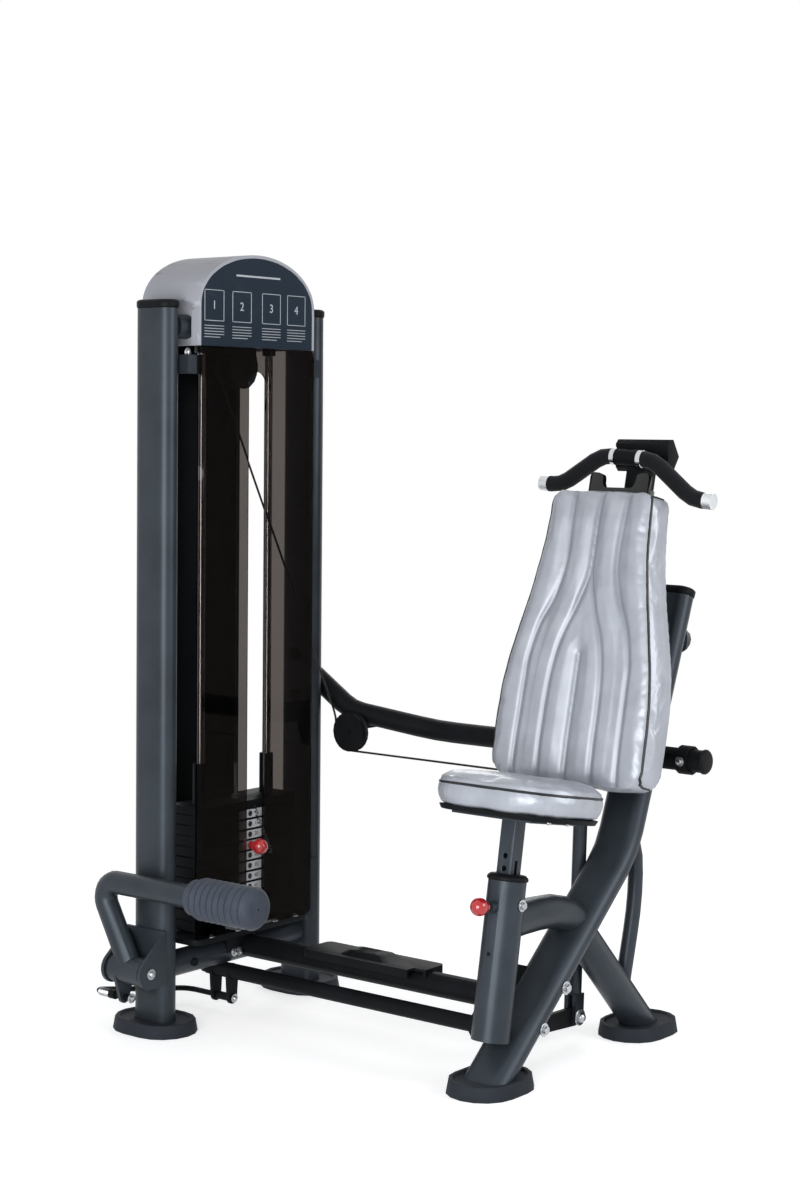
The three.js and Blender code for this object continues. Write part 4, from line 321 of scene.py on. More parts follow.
def makeSmoothing(degrees):
    group = bpy.data.node_groups.new(f"smoothBelow{degrees}", "GeometryNodeTree")
    for way in ("INPUT", "OUTPUT"):
        group.interface.new_socket("Geometry", in_out=way, socket_type="NodeSocketGeometry")
    source = addNode(group, "NodeGroupInput").outputs[0]
    merged = addNode(
        group, "GeometryNodeMergeByDistance", {"Distance": smoothing["weld"] / 1000},
        {"Geometry": source},
    ).outputs[0]
    smooth = addNode(
        group, "GeometryNodeSetShadeSmooth", {"domain": "FACE"}, {"Geometry": merged},
    ).outputs[0]
    angle = addNode(group, "GeometryNodeInputMeshEdgeAngle").outputs["Unsigned Angle"]
    sharp = addNode(
        group, "FunctionNodeCompare", {"operation": "GREATER_THAN", 1: math.radians(degrees)},
        {0: angle},
    ).outputs[0]
    edges = addNode(
        group, "GeometryNodeSetShadeSmooth", {"domain": "EDGE", "Shade Smooth": False},
        {"Geometry": smooth, "Selection": sharp},
    ).outputs[0]
    addNode(group, "NodeGroupOutput", None, {0: edges})
    return group


smoothGroups = {
    degrees: makeSmoothing(degrees)
    for degrees in sorted({smoothing["below"], *smoothing["own"].values()})
}

# rounding of the moulded and pressed edges, in millimetres, where faces meet above an angle
softEdges = {
    "near_upright_cap": 3.5, "far_upright_cap": 3.5, "s_frame_cap": 3, "seat_post_cap": 2,
    "upper_tube_cap": 2, "near_upright_pad": 3, "far_upright_pad": 3, "front_seat_pad": 3,
    "rear_seat_pad": 3, "carriage": 2, "foot_plate": 1.5, "base_plate": 1.5,
    "backrest_shell": 2, "seat_board": 1.5, "top_plate": 1.5, "lifter": 1.2, "guide_tube": 2,
    "seat_slider": 1.5,
}
softLook = {"above": 40, "segments": 2}


def softened(item, width):
    weld = item.modifiers.new("weld", "WELD")
    weld.merge_threshold = smoothing["weld"] / 1000
    edges = item.modifiers.new("edges", "BEVEL")
    edges.width = width / 1000
    edges.segments = softLook["segments"]
    edges.limit_method = "ANGLE"
    edges.angle_limit = math.radians(softLook["above"])


def smoothed(item, degrees):
    modifier = item.modifiers.new("smooth", "NODES")
    modifier.node_group = smoothGroups[degrees]


for finishName, names in nodeFinishes.items():
    for name in names.split():
        item = nodes[name]
        if item.material_slots:
            item.material_slots[0].material = finishes[finishName]
        else:
            item.data.materials.append(finishes[finishName])
        if name in softEdges:
            softened(item, softEdges[name])
        smoothed(item, smoothing["own"].get(name, smoothing["below"]))

print("stage")
# metres; the floor fades into the white of the world between two distances
stageLook = {
    "size": 30, "drop": 0.0006, "fadeFrom": 1.1, "fadeTo": 2.4, "white": 1.0, "floor": "#dfe0e2",
    "daylight": 0.38, "lift": 0.6,
}


def facing(axis, ahead="Z"):
    return Vector(axis).to_track_quat(ahead, "Y").to_matrix().to_4x4()


def seenDirectly(tree):
    path = addNode(tree, "ShaderNodeLightPath")
    first = addNode(
        tree, "ShaderNodeMath", {"operation": "MAXIMUM"},
        {0: path.outputs["Is Camera Ray"], 1: path.outputs["Is Glossy Ray"]},
    )
    return addNode(
        tree, "ShaderNodeMath", {"operation": "MAXIMUM"},
        {0: first.outputs[0], 1: path.outputs["Is Transmission Ray"]},
    ).outputs[0]


def makeFloor():
    bpy.ops.mesh.primitive_plane_add(size=stageLook["size"], location=(0, 0, -stageLook["drop"]))
    floor = bpy.context.object
    floor.name = "floor"
    material, tree = blankMaterial("paleFloor")
    place = addNode(tree, "ShaderNodeTexCoord").outputs["Object"]
    far = addNode(
        tree, "ShaderNodeVectorMath", {"operation": "LENGTH"}, {0: place},
    ).outputs["Value"]
    fade = addNode(
        tree, "ShaderNodeMapRange", {
            "interpolation_type": "SMOOTHSTEP",
            "From Min": stageLook["fadeFrom"], "From Max": stageLook["fadeTo"],
        }, {"Value": far},
    ).outputs["Result"]
    seen = seenDirectly(tree)
    share = addNode(tree, "ShaderNodeMath", {"operation": "MULTIPLY"}, {0: fade, 1: seen})
    lift = addNode(
        tree, "ShaderNodeMath", {"operation": "MULTIPLY", 1: stageLook["lift"]}, {0: seen},
    )
    matt = addNode(tree, "ShaderNodeBsdfDiffuse", {"Color": linear(stageLook["floor"])})
    raised = addNode(tree, "ShaderNodeEmission", None, {"Strength": lift.outputs[0]})
    pale = addNode(tree, "ShaderNodeAddShader", None, {0: matt.outputs[0], 1: raised.outputs[0]})
    glow = addNode(tree, "ShaderNodeEmission", {"Strength": stageLook["white"]})
    both = addNode(
        tree, "ShaderNodeMixShader", None,
        {0: share.outputs[0], 1: pale.outputs[0], 2: glow.outputs[0]},
    )
    addNode(tree, "ShaderNodeOutputMaterial", None, {"Surface": both.outputs[0]})
    floor.data.materials.append(material)


def makeWorld():
    world = bpy.data.worlds.new("studio")
    world.use_nodes = True
    tree = world.node_tree
    tree.nodes.clear()
    shown, filling = (
        addNode(tree, "ShaderNodeBackground", {"Color": (1, 1, 1, 1), "Strength": stageLook[name]})
        for name in ("white", "daylight")
    )
    both = addNode(
        tree, "ShaderNodeMixShader", None,
        {0: seenDirectly(tree), 1: filling.outputs[0], 2: shown.outputs[0]},
    )
    addNode(tree, "ShaderNodeOutputWorld", None, {"Surface": both.outputs[0]})
    bpy.context.scene.world = world
    bpy.context.scene.view_settings.view_transform = "Standard"


lampTarget = (0, 0, 0.8)
softboxes = {
    "frontLamp": {"place": (1.3, -3.4, 1.0), "size": 2.0, "power": 98},
    "sideLamp": {"place": (3.0, 0.6, 1.7), "size": 1.4, "power": 34},
    "backLamp": {"place": (-1.6, 2.6, 2.2), "size": 1.6, "power": 25},
}


def makeLamps():
    for name, look in softboxes.items():
        data = bpy.data.lights.new(name, "AREA")
        data.size = look["size"]
        data.energy = look["power"]
        item = bpy.data.objects.new(name, data)
        aim = Vector(lampTarget) - Vector(look["place"])
        item.matrix_world = Matrix.Translation(look["place"]) @ facing(aim, "-Z")
        bpy.context.scene.collection.objects.link(item)


# black card that only reflections see, so that the smoked shield mirrors something dark
flag = {
    "place": (0.19, 0.59, 0.8), "facing": (-0.62, -0.78, 0), "wide": 0.5, "tall": 1.6,
    "colour": "#050506",
}


def makeFlag():
    bpy.ops.mesh.primitive_plane_add(size=1)
    card = bpy.context.object
    card.name = "flag"
    card.data.transform(
        Matrix.Translation(flag["place"]) @ facing(flag["facing"])
        @ Matrix.Diagonal((flag["wide"], flag["tall"], 1, 1))
    )
    material, tree = blankMaterial("blackCard")
    matt = addNode(tree, "ShaderNodeBsdfDiffuse", {"Color": linear(flag["colour"])})
    addNode(tree, "ShaderNodeOutputMaterial", None, {"Surface": matt.outputs[0]})
    card.data.materials.append(material)
    for rays in ("camera", "diffuse", "transmission", "volume_scatter", "shadow"):
        setattr(card, "visible_" + rays, False)


makeFloor()
makeWorld()
makeLamps()
makeFlag()

print("piece helpers")
nodeWeld, pieceWeld = 1e-5, 1e-6  # metres, for meshes of the CAD and for what is made here
pieceSharp = 35  # degrees from which an edge of a piece made here stays sharp


def aimed(place, axis):
    return Matrix.Translation(at(*place)) @ facing(axis)


def opened(data, weld=0.0):
    shell = bmesh.new()
    shell.from_mesh(data)
    if weld:
        bmesh.ops.remove_doubles(shell, verts=shell.verts, dist=weld)
    return shell


def gathered(parts):
    whole = bmesh.new()
    for part in parts:
        data = bpy.data.meshes.new("part")
        part.to_mesh(data)
        part.free()
        whole.from_mesh(data)
        bpy.data.meshes.remove(data)
    return whole


def piece(name, body, look, parts, smooth=True, replaced=()):
    whole = gathered(parts)
    bmesh.ops.recalc_face_normals(whole, faces=whole.faces)
    data = bpy.data.meshes.new(name)
    whole.to_mesh(data)
    whole.free()
    item = bpy.data.objects.new(name, data)
    bpy.context.scene.collection.objects.link(item)
    data.materials.append(finishes[look])
    if smooth:
        data.shade_smooth()
        data.set_sharp_from_angle(angle=math.radians(pieceSharp))
    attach(item, body)
    if replaced:
        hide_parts(*replaced)


def turned(profile, matrix, steps=36):
    mesh = bmesh.new()
    line = [mesh.verts.new((radius / 1000, 0, height / 1000)) for radius, height in profile]
    edges = [mesh.edges.new(pair) for pair in zip(line, line[1:])]
    bmesh.ops.spin(
        mesh, geom=line + edges, axis=(0, 0, 1), cent=(0, 0, 0), dvec=(0, 0, 0),
        angle=2 * math.pi, steps=steps, use_merge=True, use_duplicate=False,
    )
    bmesh.ops.remove_doubles(mesh, verts=mesh.verts, dist=pieceWeld)
    mesh.transform(matrix)
    return mesh


def block(low, high):
    mesh = bmesh.new()
    bmesh.ops.create_cube(mesh, size=1)
    span = Vector(high) - Vector(low)
    middle = (Vector(high) + Vector(low)) / 2
    bmesh.ops.scale(mesh, vec=span / 1000, verts=mesh.verts)
    bmesh.ops.translate(mesh, vec=middle / 1000, verts=mesh.verts)
    mesh.transform(Matrix.Translation(towerFoot))
    return mesh


def meshedCurve(line, weld=0.0):
    holder = bpy.data.objects.new(line.name, line)
    bpy.context.scene.collection.objects.link(holder)
    bpy.context.view_layer.update()
    data = bpy.data.meshes.new_from_object(holder)
    bpy.data.objects.remove(holder)
    bpy.data.curves.remove(line)
    shell = opened(data, weld)
    bpy.data.meshes.remove(data)
    return shell


def strand(name, body, look, points, radius, steps, cyclic=False):
    line = bpy.data.curves.new(name + "Line", "CURVE")
    line.dimensions = "3D"
    line.bevel_depth = radius / 1000
    line.bevel_resolution = 3
    line.resolution_u = steps
    spline = line.splines.new("NURBS")
    spline.points.add(len(points) - 1)
    for spot, point in zip(spline.points, points):
        spot.co = (*point, 1)
    spline.use_cyclic_u = cyclic
    spline.use_endpoint_u = not cyclic
    spline.order_u = 4
    line.use_fill_caps = not cyclic
    piece(name, body, look, [meshedCurve(line)])


print("fasteners")
# profiles across and up, in shares of the bolt's radius; the head of a hex bolt is made apart
fastener = {
    "washer": ((0, 0), (1.55, 0), (1.62, 0.06), (1.62, 0.2), (1.55, 0.26), (0, 0.26)),
    "dome": (
        (0, 0.2), (0.98, 0.2), (0.98, 0.5), (0.92, 0.72), (0.75, 0.95), (0.5, 1.12),
        (0.25, 1.2), (0, 1.22),
    ),
    "cap": ((0, 0), (1, 0), (1.02, 0.1), (1.02, 0.45), (0.9, 0.6), (0, 0.64)),
}
hexShape = {"low": 0.26, "high": 1.05, "bevel": 0.09}


def scaled(kind, radius):
    return [(radius * across, radius * up) for across, up in fastener[kind]]


def hexHead(radius, matrix):
    low, high, bevel = (radius * hexShape[name] for name in ("low", "high", "bevel"))
    mesh = bmesh.new()
    bmesh.ops.create_cone(
        mesh, cap_ends=True, segments=6, radius1=radius / 1000, radius2=radius / 1000,
        depth=(high - low) / 1000,
    )
    bmesh.ops.translate(mesh, vec=(0, 0, (low + high) / 2000), verts=mesh.verts)
    bmesh.ops.bevel(
        mesh, geom=mesh.edges[:], offset=bevel / 1000, offset_type="OFFSET", affect="EDGES",
        segments=2, profile=0.5, material=-1, clamp_overlap=True,
    )
    mesh.transform(matrix)
    return mesh


def fastened(kind, place, axis, radius):
    matrix = aimed(place, axis)
    if kind == "cap":
        return [turned(scaled("cap", radius), matrix)]
    washer = turned(scaled("washer", radius), matrix)
    if kind == "hex":
        return [washer, hexHead(radius, matrix)]
    return [washer, turned(scaled("dome", radius), matrix)]


toSeat, fromSeat, toUser, toBack, up = (1, 0, 0), (-1, 0, 0), (0, -1, 0), (0, 1, 0), (0, 0, 1)
fasteners = {
    "pivot_bolts": ("frame", "zincPlate", [
        ("dome", (58, -305, 140), toSeat, 7), ("dome", (-58, -305, 140), fromSeat, 7),
    ]),
    "frame_bolts": ("frame", "zincPlate", [
        ("hex", (849, 67.7, 171.3), toSeat, 8.5), ("hex", (849, -7.7, 102.6), toSeat, 8.5),
        ("hex", (50, -196, 1440), toSeat, 6), ("hex", (14.6, 5, 1411), toSeat, 8),
        ("hex", (837, -70, 358), toSeat, 7.5),
    ]),
    "base_bolts": ("frame", "zincPlate", [
        ("hex", (66, -53, 190), up, 6), ("hex", (66, 68, 190), up, 6),
        ("hex", (66, -135, 190), up, 6), ("hex", (66, 135, 190), up, 6),
        ("hex", (-60, -120, 190), up, 6), ("hex", (-60, 120, 190), up, 6),
        ("hex", (30.4, -21, 131), toSeat, 6), ("hex", (30.4, -5, 131), toSeat, 6),
        ("hex", (948, 325.8, 606), toUser, 6),
    ]),
    "tube_plugs": ("frame", "mouldedNylon", [
        ("cap", (0, 209, 770), toUser, 15), ("cap", (0, 209, 675), toUser, 15),
        ("cap", (30.4, -147.8, 133), toSeat, 9), ("cap", (799.7, -127.9, 268), toUser, 3.5),
    ]),
    "crank_cap": ("torque_tube", "zincPlate", [("dome", (746, 272, 52), toSeat, 11)]),
    "link_bolts": ("link", "zincPlate", [
        ("dome", (28, -17, 27), toSeat, 6), ("hex", (0.2, -305, 80), toSeat, 6.5),
    ]),
}
for name, (body, look, places) in fasteners.items():
    piece(name, body, look, [part for spec in places for part in fastened(*spec)])

print("knobs and grip")
stack = {
    "firstHole": 438, "pitch": 23.07, "pinPlate": 3, "lifted": 4, "plates": 11,
    "firstWeight": 10, "weightStep": 5,
}
# a ball on a neck, and the shaft's profile, both along the pin
weightPin = {
    "z": stack["firstHole"] - stack["pinPlate"] * stack["pitch"],
    "ballAt": 86, "ballRadius": 17.5, "neckRadius": 9, "neckStart": 59,
    "shaft": [(0, 1), (3.6, 1), (4.9, 3), (4.9, 57.2), (8.4, 57.2), (8.4, 58.8), (0, 58.8)],
}
seatLock = {
    "drop": 52, "ballAt": 85, "ballRadius": 18, "neckRadius": 9, "neckStart": 61,
    "shaft": [(0, 17.5), (3.8, 17.5), (4.9, 19), (4.9, 60.8), (0, 60.8)],
}
seatPost = {"top": (799, -66.4, 402), "lean": (0, 52.6, 306)}
postAlong = Vector(seatPost["lean"]).normalized()
postBack = Vector((0, postAlong.z, -postAlong.y))


def onPost(across, back, along):
    side = Vector((across, 0, 0))
    return Vector(seatPost["top"]) + side + postBack * back + postAlong * along


def ballProfile(look, steps=14):
    radius, neck, centre = look["ballRadius"], look["neckRadius"], look["ballAt"]
    start = math.asin(neck / radius)
    arc = [start + (math.pi - start) * i / steps for i in range(steps + 1)]
    foot = [(0, look["neckStart"]), (neck, look["neckStart"])]
    return foot + [(neck, centre - radius * math.cos(start))] + [
        (radius * math.sin(angle), centre - radius * math.cos(angle)) for angle in arc[1:]
    ]


def makePin(body, look, aim, node):
    piece(
        body + "_knob", body, "phenolicRed", [turned(ballProfile(look), aim, 48)],
        replaced=[node],
    )
    piece(body + "_shaft", body, "zincPlate", [turned(look["shaft"], aim, 32)])


makePin("weight_pin", weightPin, aimed((0, 0, weightPin["z"]), toSeat), "selector_pin")
makePin("seat_lock", seatLock, aimed(onPost(0, 0, -seatLock["drop"]), -postBack), "seat_pin")

seatBolts = {"across": (-95, 95), "back": (-20, 45), "along": 125, "radius": 5.5}
piece("seat_bolts", "seat", "zincPlate", [
    part for across in seatBolts["across"] for back in seatBolts["back"]
    for part in fastened(
        "dome", onPost(across, back, seatBolts["along"]), -postAlong, seatBolts["radius"],
    )
])

# knurled adjuster on the rod beside the pedal
adjuster = {
    "place": (-92, -305, 80), "ridge": 8.8, "valley": 7.9, "shoulder": 8.5, "end": 7.5,
    "length": 43, "knurlFrom": 2, "knurlSteps": 39,
}


def adjusterProfile():
    look = adjuster
    end, shoulder, length = look["end"], look["shoulder"], look["length"]
    knurl = [
        (look["ridge"] if index % 2 else look["valley"], look["knurlFrom"] + index)
        for index in range(look["knurlSteps"])
    ]
    return [(0, 0), (end, 0), (shoulder, 1)] + knurl + [
        (shoulder, length - 1), (end, length), (0, length),
    ]


piece("link_adjuster", "link", "zincPlate", [
    turned(adjusterProfile(), aimed(adjuster["place"], toSeat), 32),
])

# each groove is a saw tooth: depth below the ribs, and place along the grip
pedalGrip = {
    "start": (181, -305, 320), "length": 180, "rib": 44, "neck": 37, "neckRound": 3, "collar": 18,
    "grooves": (24, 40, 56, 73, 89, 105, 122, 141, 159),
    "tooth": ((2.8, -2.8), (5.2, -1.4), (5.2, 1.4), (0.8, 3.4), (0, 6)),
    "endRound": 19, "endSteps": 6, "hole": 2.4, "holeRound": 1, "holeDepth": 8,
}


def gripProfile():
    look = pedalGrip
    neck, length, end = look["neck"], look["length"], look["endRound"]
    line = [(0, 0), (neck - look["neckRound"], 0), (neck, look["neckRound"]), (neck, look["collar"])]
    for place in look["grooves"]:
        line += [(look["rib"] - depth, place + along) for depth, along in look["tooth"]]
    for step in range(look["endSteps"]):
        angle = math.pi / 2 / look["endSteps"] * (step + 1)
        line.append((
            look["rib"] - end * (1 - math.cos(angle)), length - end * (1 - math.sin(angle)),
        ))
    floor = length - look["holeDepth"]
    return line + [
        (look["hole"] + look["holeRound"], length), (look["hole"], length - look["holeRound"]),
        (look["hole"], floor), (0, floor),
    ]


piece("pedal_grip_cover", "pedal", "gripRubber", [
    turned(gripProfile(), aimed(pedalGrip["start"], toSeat), 64),
], replaced=["pedal_grip"])

print("handle sleeve")
# the sleeve's profile is told for one rib, in shares of the rib's pitch
handleSleeve = {
    "pivot": (799, 349, 1227), "tilt": -4, "half": 38, "ribs": 12, "rib": 16.6, "valley": 15.4,
    "profile": ((0.08, "valley"), (0.3, "rib"), (0.7, "rib"), (0.92, "valley")),
    "bore": 13.4, "ring": 11, "ringRadius": 18.5, "ringChamfer": 1,
    "neckRadius": 17, "neckFrom": 14, "neckTo": 52.5,
}


def ringProfile(start):
    look = handleSleeve
    bore, radius, cut = look["bore"], look["ringRadius"], look["ringChamfer"]
    shape = [
        (bore, 0), (radius - cut, 0), (radius, cut), (radius, look["ring"] - cut),
        (radius - cut, look["ring"]), (bore, look["ring"]), (bore, 0),
    ]
    return [(across, start + along) for across, along in shape]


def makeHandleSleeve():
    look = handleSleeve
    tilt = math.radians(look["tilt"])
    aim = aimed(look["pivot"], (math.cos(tilt), 0, math.sin(tilt)))
    inner = look["half"] - look["ring"]
    pitch = 2 * inner / look["ribs"]
    ribs = [(look["bore"], -inner)]
    for index in range(look["ribs"]):
        ribs += [
            (look[name], index * pitch - inner + pitch * share) for share, name in look["profile"]
        ]
    ribs += [(look["bore"], inner), (look["bore"], -inner)]
    length = look["neckTo"] - look["neckFrom"]
    x, y, z = look["pivot"]
    neck = turned(
        [(0, 0), (look["neckRadius"], 0), (look["neckRadius"], length), (0, length)],
        aimed((x, y + look["neckFrom"], z), toBack), 32,
    )
    piece(
        "handle_sleeve", "handle", "mouldedNylon", [turned(ribs, aim, 40), neck],
        replaced=["centre_sleeve"],
    )
    piece("handle_rings", "handle", "hardChrome", [
        turned(ringProfile(start), aim, 48) for start in (-look["half"], inner)
    ])


makeHandleSleeve()

print("stack labels")
labels = {
    "front": 56, "half": 37, "height": 18, "thick": 0.5, "sunk": 0.3, "hole": 6.2,
    "numberY": 20, "numberSize": 12, "ink": 0.25,
}


def words(text, size, matrix, thick):
    line = bpy.data.curves.new("words", "FONT")
    line.body = text
    line.size = size / 1000
    line.extrude = thick / 2000
    line.align_x = "CENTER"
    line.align_y = "CENTER"
    shell = meshedCurve(line, pieceWeld)
    shell.transform(matrix)
    return shell


def uprightFace(x, y, z):
    turn = Matrix(((0, 0, 1), (1, 0, 0), (0, 1, 0))).to_4x4()
    return Matrix.Translation(at(x, y, z)) @ turn


def makeLabels(name, body, plates):
    look = labels
    face = look["front"] + look["thick"]
    strips, inks = [], []
    for plate in plates:
        z = stack["firstHole"] - plate * stack["pitch"]
        strips.append(block(
            (look["front"] - look["sunk"], -look["half"], z - look["height"] / 2),
            (face, look["half"], z + look["height"] / 2),
        ))
        inks.append(turned(
            [(0, 0), (look["hole"], 0), (look["hole"], look["ink"]), (0, look["ink"])],
            aimed((face, 0, z), toSeat), 24,
        ))
        inks.append(words(
            str(stack["firstWeight"] + stack["weightStep"] * plate), look["numberSize"],
            uprightFace(face + look["ink"] / 2, look["numberY"], z), look["ink"],
        ))
    piece(name + "_labels", body, "labelVinyl", strips, smooth=False)
    piece(name + "_numbers", body, "labelInk", inks, smooth=False)


makeLabels("lifted", "stack", range(stack["lifted"]))
makeLabels("lower", "frame", range(stack["lifted"], stack["plates"]))

print("cover arch")
# the cover's arch is half an ellipse, in chords in the CAD; each chord is cut finer here
arch = {"half": 184.5, "shoulder": 1543, "rise": 112, "chords": 10, "cuts": 5, "above": 0.01}


def makeRoundedArch(name, node, look):
    shell = opened(nodes[node].data, nodeWeld)
    centre = at(0, 0, arch["shoulder"])
    chord = math.pi / arch["chords"]
    for index in range(arch["chords"] * arch["cuts"]):
        if index % arch["cuts"]:
            angle = chord * index / arch["cuts"]
            normal = (0, -arch["rise"] * math.sin(angle), arch["half"] * math.cos(angle))
            bmesh.ops.bisect_plane(
                shell, geom=shell.verts[:] + shell.edges[:] + shell.faces[:], dist=pieceWeld,
                plane_co=centre, plane_no=normal,
            )
    for vertex in shell.verts:
        place = (vertex.co - centre) * 1000
        if place.z > arch["above"]:
            angle = math.atan2(place.z / arch["rise"], place.y / arch["half"])
            within = angle % chord - chord / 2
            grown = math.cos(within) / math.cos(chord / 2)
            vertex.co.y = centre.y + place.y * grown / 1000
            vertex.co.z = centre.z + place.z * grown / 1000
    piece(name, "frame", look, [shell], replaced=[node])


makeRoundedArch("cover_shell", "shroud", "mouldedAbs")
makeRoundedArch("sign_face", "sign_panel", "satinSign")

print("sign")
sign = {
    "face": 72, "line": 1.4, "thick": 0.5, "sunk": 0.2, "frames": (-138, -52, 42, 124),
    "frameHalf": 30, "low": 1508, "high": 1574, "numberSize": 26, "rules": 5, "ruleGap": 6,
    "ruleTop": 1498, "ruleHalf": 0.7, "lastRuleShort": 12, "rowTop": 1608, "rowWide": 70,
    "rowHalf": 2,
}


def printed(left, right, low, high):
    front = sign["face"] + sign["thick"]
    return block((sign["face"] - sign["sunk"], left, low), (front, right, high))


def outlined(y):
    left, right, line = y - sign["frameHalf"], y + sign["frameHalf"], sign["line"]
    low, high = sign["low"], sign["high"]
    return [
        printed(left, right, low, low + line), printed(left, right, high - line, high),
        printed(left, left + line, low, high), printed(right - line, right, low, high),
    ]


def makeSign():
    look = sign
    parts = []
    for index, y in enumerate(look["frames"]):
        parts += outlined(y)
        middle = uprightFace(look["face"] + look["thick"] / 2, y, (look["low"] + look["high"]) / 2)
        parts.append(words(str(index + 1), look["numberSize"], middle, look["thick"]))
        for rule in range(look["rules"]):
            z = look["ruleTop"] - rule * look["ruleGap"]
            short = look["lastRuleShort"] if rule == look["rules"] - 1 else 0
            parts.append(printed(
                y - look["frameHalf"], y + look["frameHalf"] - short,
                z - look["ruleHalf"], z + look["ruleHalf"],
            ))
    parts.append(printed(
        -look["rowWide"], look["rowWide"],
        look["rowTop"] - look["rowHalf"], look["rowTop"] + look["rowHalf"],
    ))
    piece("sign_print", "frame", "signInk", parts, smooth=False)


makeSign()

print("cushions")
rest = {"origin": (799, 115.4, 583.6), "lean": 0.2366}
# the seat's half size, corner and side, its height over the post's top and its set back on it
seat = {"halfWidth": 163, "halfDepth": 136, "corner": 112, "side": 63, "plane": 115.3, "setBack": 22}
leanLength = math.hypot(rest["lean"], 1)
restAlong = Vector((0, rest["lean"] / leanLength, 1 / leanLength))
restBack = Vector((0, restAlong.z, -restAlong.y))


def standing(place, back, along):
    turn = Matrix((Vector((1, 0, 0)), back, along)).transposed().to_4x4()
    return Matrix.Translation(at(*place)) @ turn


restMatrix = standing(rest["origin"], restBack, restAlong)
seatMatrix = standing(seatPost["top"], postBack, postAlong)

# seams across and along the backrest, for its right half; they mirror to the left
restSeams = [
    [
        (67, 612), (64, 540), (62, 443), (77, 373), (106, 307), (121, 241), (123, 193),
        (124, 119), (126, 2), (126, -20),
    ],
    [
        (0, 612), (0, 540), (0, 470), (3, 414), (23, 345), (48, 279), (60, 218), (64, 160),
        (65, 90), (65, -20),
    ],
    [(0, 252), (0, 181), (0, 103), (0, -20)],
]
cushionSim = {
    "voxel": 5, "pressure": 4, "frames": 20, "quality": 5, "cap": 5, "softenings": 2,
    "softening": 0.5,
}


def smoothLine(points, steps=5):
    out = []
    for i in range(len(points) - 1):
        before, start, end, after = (
            Vector(points[max(0, min(len(points) - 1, k))]) for k in (i - 1, i, i + 1, i + 2)
        )
        for step in range(steps):
            t = step / steps
            out.append(0.5 * (
                2 * start + (end - before) * t
                + (2 * before - 5 * start + 4 * end - after) * t * t
                + (3 * start - before - 3 * end + after) * t ** 3
            ))
    return out + [Vector(points[-1])]


def nearestDistance(lines, point):
    best = math.inf
    for line in lines:
        for start, end in zip(line, line[1:]):
            run = end - start
            share = min(1, max(0, (point - start).dot(run) / max(run.length_squared, 1e-9)))
            best = min(best, (start + run * share - point).length_squared)
    return math.sqrt(best)


def inflate(item):
    rested = [vertex.co.copy() for vertex in item.data.vertices]
    cloth = item.modifiers.new("cloth", "CLOTH")
    cloth.settings.use_pressure = True
    cloth.settings.uniform_pressure_force = cushionSim["pressure"]
    cloth.settings.effector_weights.gravity = 0
    cloth.settings.quality = cushionSim["quality"]
    cloth.point_cache.frame_start, cloth.point_cache.frame_end = 1, cushionSim["frames"]
    for step in range(1, cushionSim["frames"] + 1):
        bpy.context.scene.frame_set(step)
    swollen = item.evaluated_get(bpy.context.evaluated_depsgraph_get()).data
    moved = [vertex.co.copy() for vertex in swollen.vertices]
    item.modifiers.remove(cloth)
    bpy.context.scene.frame_set(1)
    cap = cushionSim["cap"] / 1000
    for vertex, start, end in zip(item.data.vertices, rested, moved):
        shift = end - start
        vertex.co = start + shift * min(1, cap / max(shift.length, 1e-9))


def puffed(node, name, look):
    item = nodes[node].copy()
    item.data = nodes[node].data.copy()
    item.name = item.data.name = name
    item.parent = None
    item.modifiers.clear()
    for key in list(item.keys()):
        if key.startswith("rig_"):
            del item[key]
    bpy.context.scene.collection.objects.link(item)
    shell = opened(item.data, nodeWeld)
    shell.to_mesh(item.data)
    shell.free()
    item.data.materials.clear()
    item.data.materials.append(finishes[look])
    bpy.context.view_layer.objects.active = item
    for other in bpy.context.selected_objects:
        other.select_set(False)
    item.select_set(True)
    item.data.remesh_voxel_size = cushionSim["voxel"] / 1000
    bpy.ops.object.voxel_remesh()
    inflate(item)
    shell = opened(item.data)
    for _ in range(cushionSim["softenings"]):
        bmesh.ops.smooth_vert(
            shell, verts=shell.verts, factor=cushionSim["softening"],
            use_axis_x=True, use_axis_y=True, use_axis_z=True,
        )
    bmesh.ops.subdivide_edges(
        shell, edges=shell.edges, cuts=1, use_grid_fill=True, smooth=1.0,
    )
    shell.to_mesh(item.data)
    shell.free()
    item.data.shade_smooth()
    return item


# moves each vertex along its normal by what depthAt says, and keeps the painted seam shade that depthAt
# also gives
def carve(item, matrix, depthAt):
    back = matrix.inverted()
    turnBack = matrix.to_3x3().inverted()
    shades = item.data.attributes.new("seamShadeMask", "FLOAT", "POINT")
    moves = []
    for vertex in item.data.vertices:
        lift, shade = depthAt(back @ vertex.co * 1000, turnBack @ vertex.normal)
        moves.append((vertex.normal * lift / 1000, shade))
    for vertex, (shift, _) in zip(item.data.vertices, moves):
        vertex.co += shift
    shades.data.foreach_set("value", [shade for _, shade in moves])
    item.data.update()


# carved seams in millimetres, with the share of painted shade that darkens the grooves
seamLook = {
    "depth": 5.0, "width": 6.5, "puff": 4.0, "puffWidth": 28, "grooveShade": 0.5, "frontFrom": 0.05,
    "frontGain": 2.5,
}
restCrease = {"across": 16, "along": 40, "seed": 3, "height": 0.9}
seatCrease = {"across": 30, "along": 30, "seed": 7, "height": 0.8}
seamLines = []
for line in restSeams:
    seamLines.append(smoothLine(line))
    if any(across > 0 for across, _ in line):
        seamLines.append(smoothLine([(-across, along) for across, along in line]))


def creased(look, across, along):
    place = Vector((across / look["across"], along / look["along"], look["seed"]))
    return noise.noise(place) * look["height"]


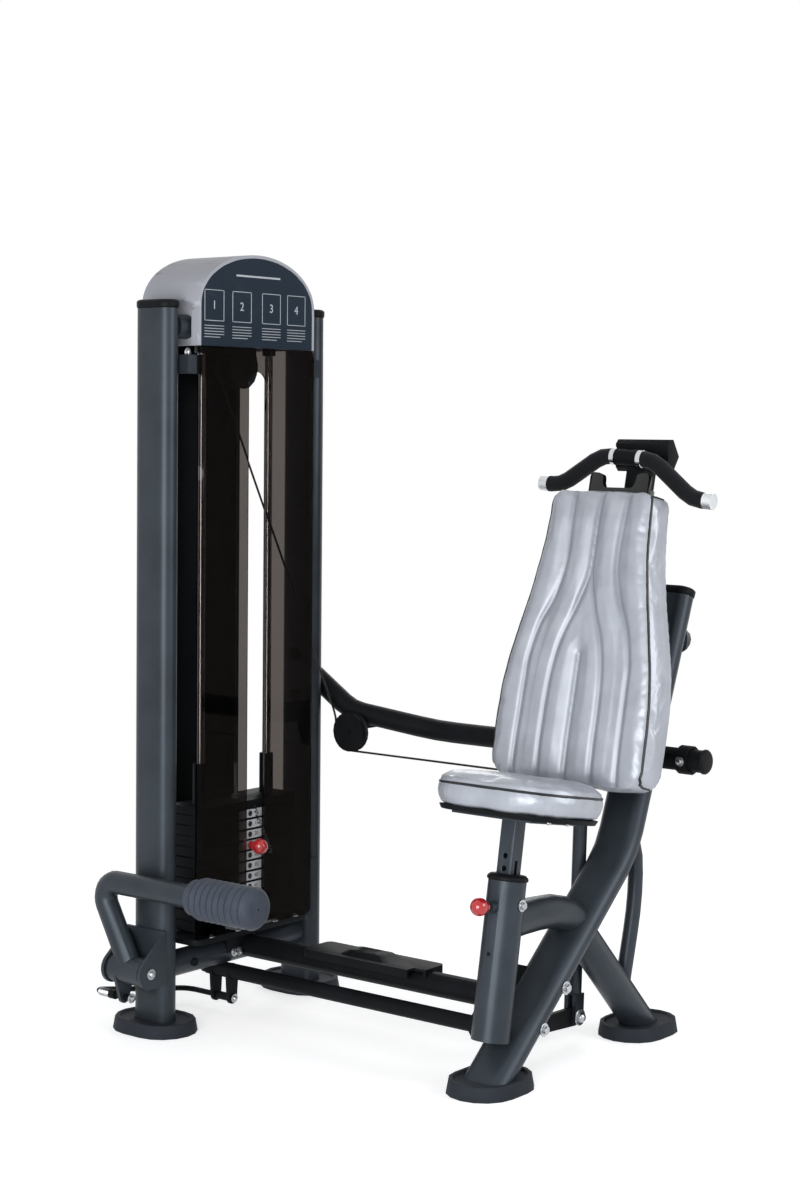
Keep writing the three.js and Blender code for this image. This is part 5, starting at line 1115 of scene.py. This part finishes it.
def restDepth(local, normal):
    look = seamLook
    front = min(1, max(0, -normal.y - look["frontFrom"]) * look["frontGain"])
    if front <= 0:
        return 0, 0
    gap = nearestDistance(seamLines, Vector((local.x, local.z)))
    groove = math.exp(-(gap / look["width"]) ** 2)
    panel = 1 - math.exp(-(gap / look["puffWidth"]) ** 2)
    crease = creased(restCrease, local.x, local.z)
    lift = look["puff"] * panel - look["depth"] * groove + crease * panel
    # the second value is painted shade for the seam grooves
    return front * lift, front * groove * look["grooveShade"]


def seatDepth(local, normal):
    return creased(seatCrease, local.x, local.y) * max(0, normal.z), 0


backCushion = puffed("backrest_cushion", "backrest_pad", "leatherette")
carve(backCushion, restMatrix, restDepth)
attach(backCushion, "frame")
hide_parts("backrest_cushion")

seatTopPad = puffed("seat_cushion", "seat_pad", "leatherette")
carve(seatTopPad, seatMatrix, seatDepth)
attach(seatTopPad, "seat")
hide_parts("seat_cushion")

print("piping")
piping = {
    "radius": 3.0, "sink": 0.6, "seatInset": 5, "cornerSteps": 12, "restSteps": 3, "seatSteps": 4,
}
# the two side panels are edged with piping: across, depth and height of the right hand one
restEdge = [
    (180, 58, -12), (182, 34, -11), (183.5, 16, -5), (184.6, 8, 8), (185.7, 5, 28),
    (183, 5, 92), (178.9, 5, 158), (169.7, 5, 225), (159.4, 5, 280), (154.8, 5, 305),
    (143.3, 5, 367), (136.7, 5, 408), (131, 5, 449), (127.6, 5, 491), (125.7, 5, 533),
    (124, 6, 571), (121, 14, 593), (119, 34, 596), (117, 58, 596),
]


def onSurface(item, matrix, points):
    tree = BVHTree.FromPolygons(
        [vertex.co[:] for vertex in item.data.vertices],
        [face.vertices[:] for face in item.data.polygons],
    )
    out = []
    for point in points:
        place, normal, _, _ = tree.find_nearest(matrix @ (Vector(point) / 1000))
        out.append(place - normal * piping["sink"] / 1000)
    return out


def makeRestPiping():
    for name, side in (("left", -1), ("right", 1)):
        line = smoothLine([(side * across, depth, along) for across, depth, along in restEdge], 4)
        strand(
            name + "_backrest_piping", "frame", "vinylPiping",
            onSurface(backCushion, restMatrix, line), piping["radius"], piping["restSteps"],
        )


def makeSeatPiping():
    halfWidth, halfDepth, corner = (
        seat[name] - piping["seatInset"] for name in ("halfWidth", "halfDepth", "corner")
    )
    centre = -seatPost["top"][1] / postBack.y - seat["setBack"] - seat["halfDepth"] / 4
    height = seat["plane"] + seat["side"]
    line = []
    for index, (signX, signY) in enumerate(((1, 1), (-1, 1), (-1, -1), (1, -1))):
        for step in range(piping["cornerSteps"] + 1):
            angle = math.pi / 2 * (index + step / piping["cornerSteps"])
            line.append((
                signX * (halfWidth - corner) + corner * math.cos(angle),
                signY * (halfDepth - corner) + corner * math.sin(angle) + centre,
                height,
            ))
    strand(
        "seat_piping", "seat", "vinylPiping", onSurface(seatTopPad, seatMatrix, line),
        piping["radius"], piping["seatSteps"], cyclic=True,
    )


makeRestPiping()
makeSeatPiping()
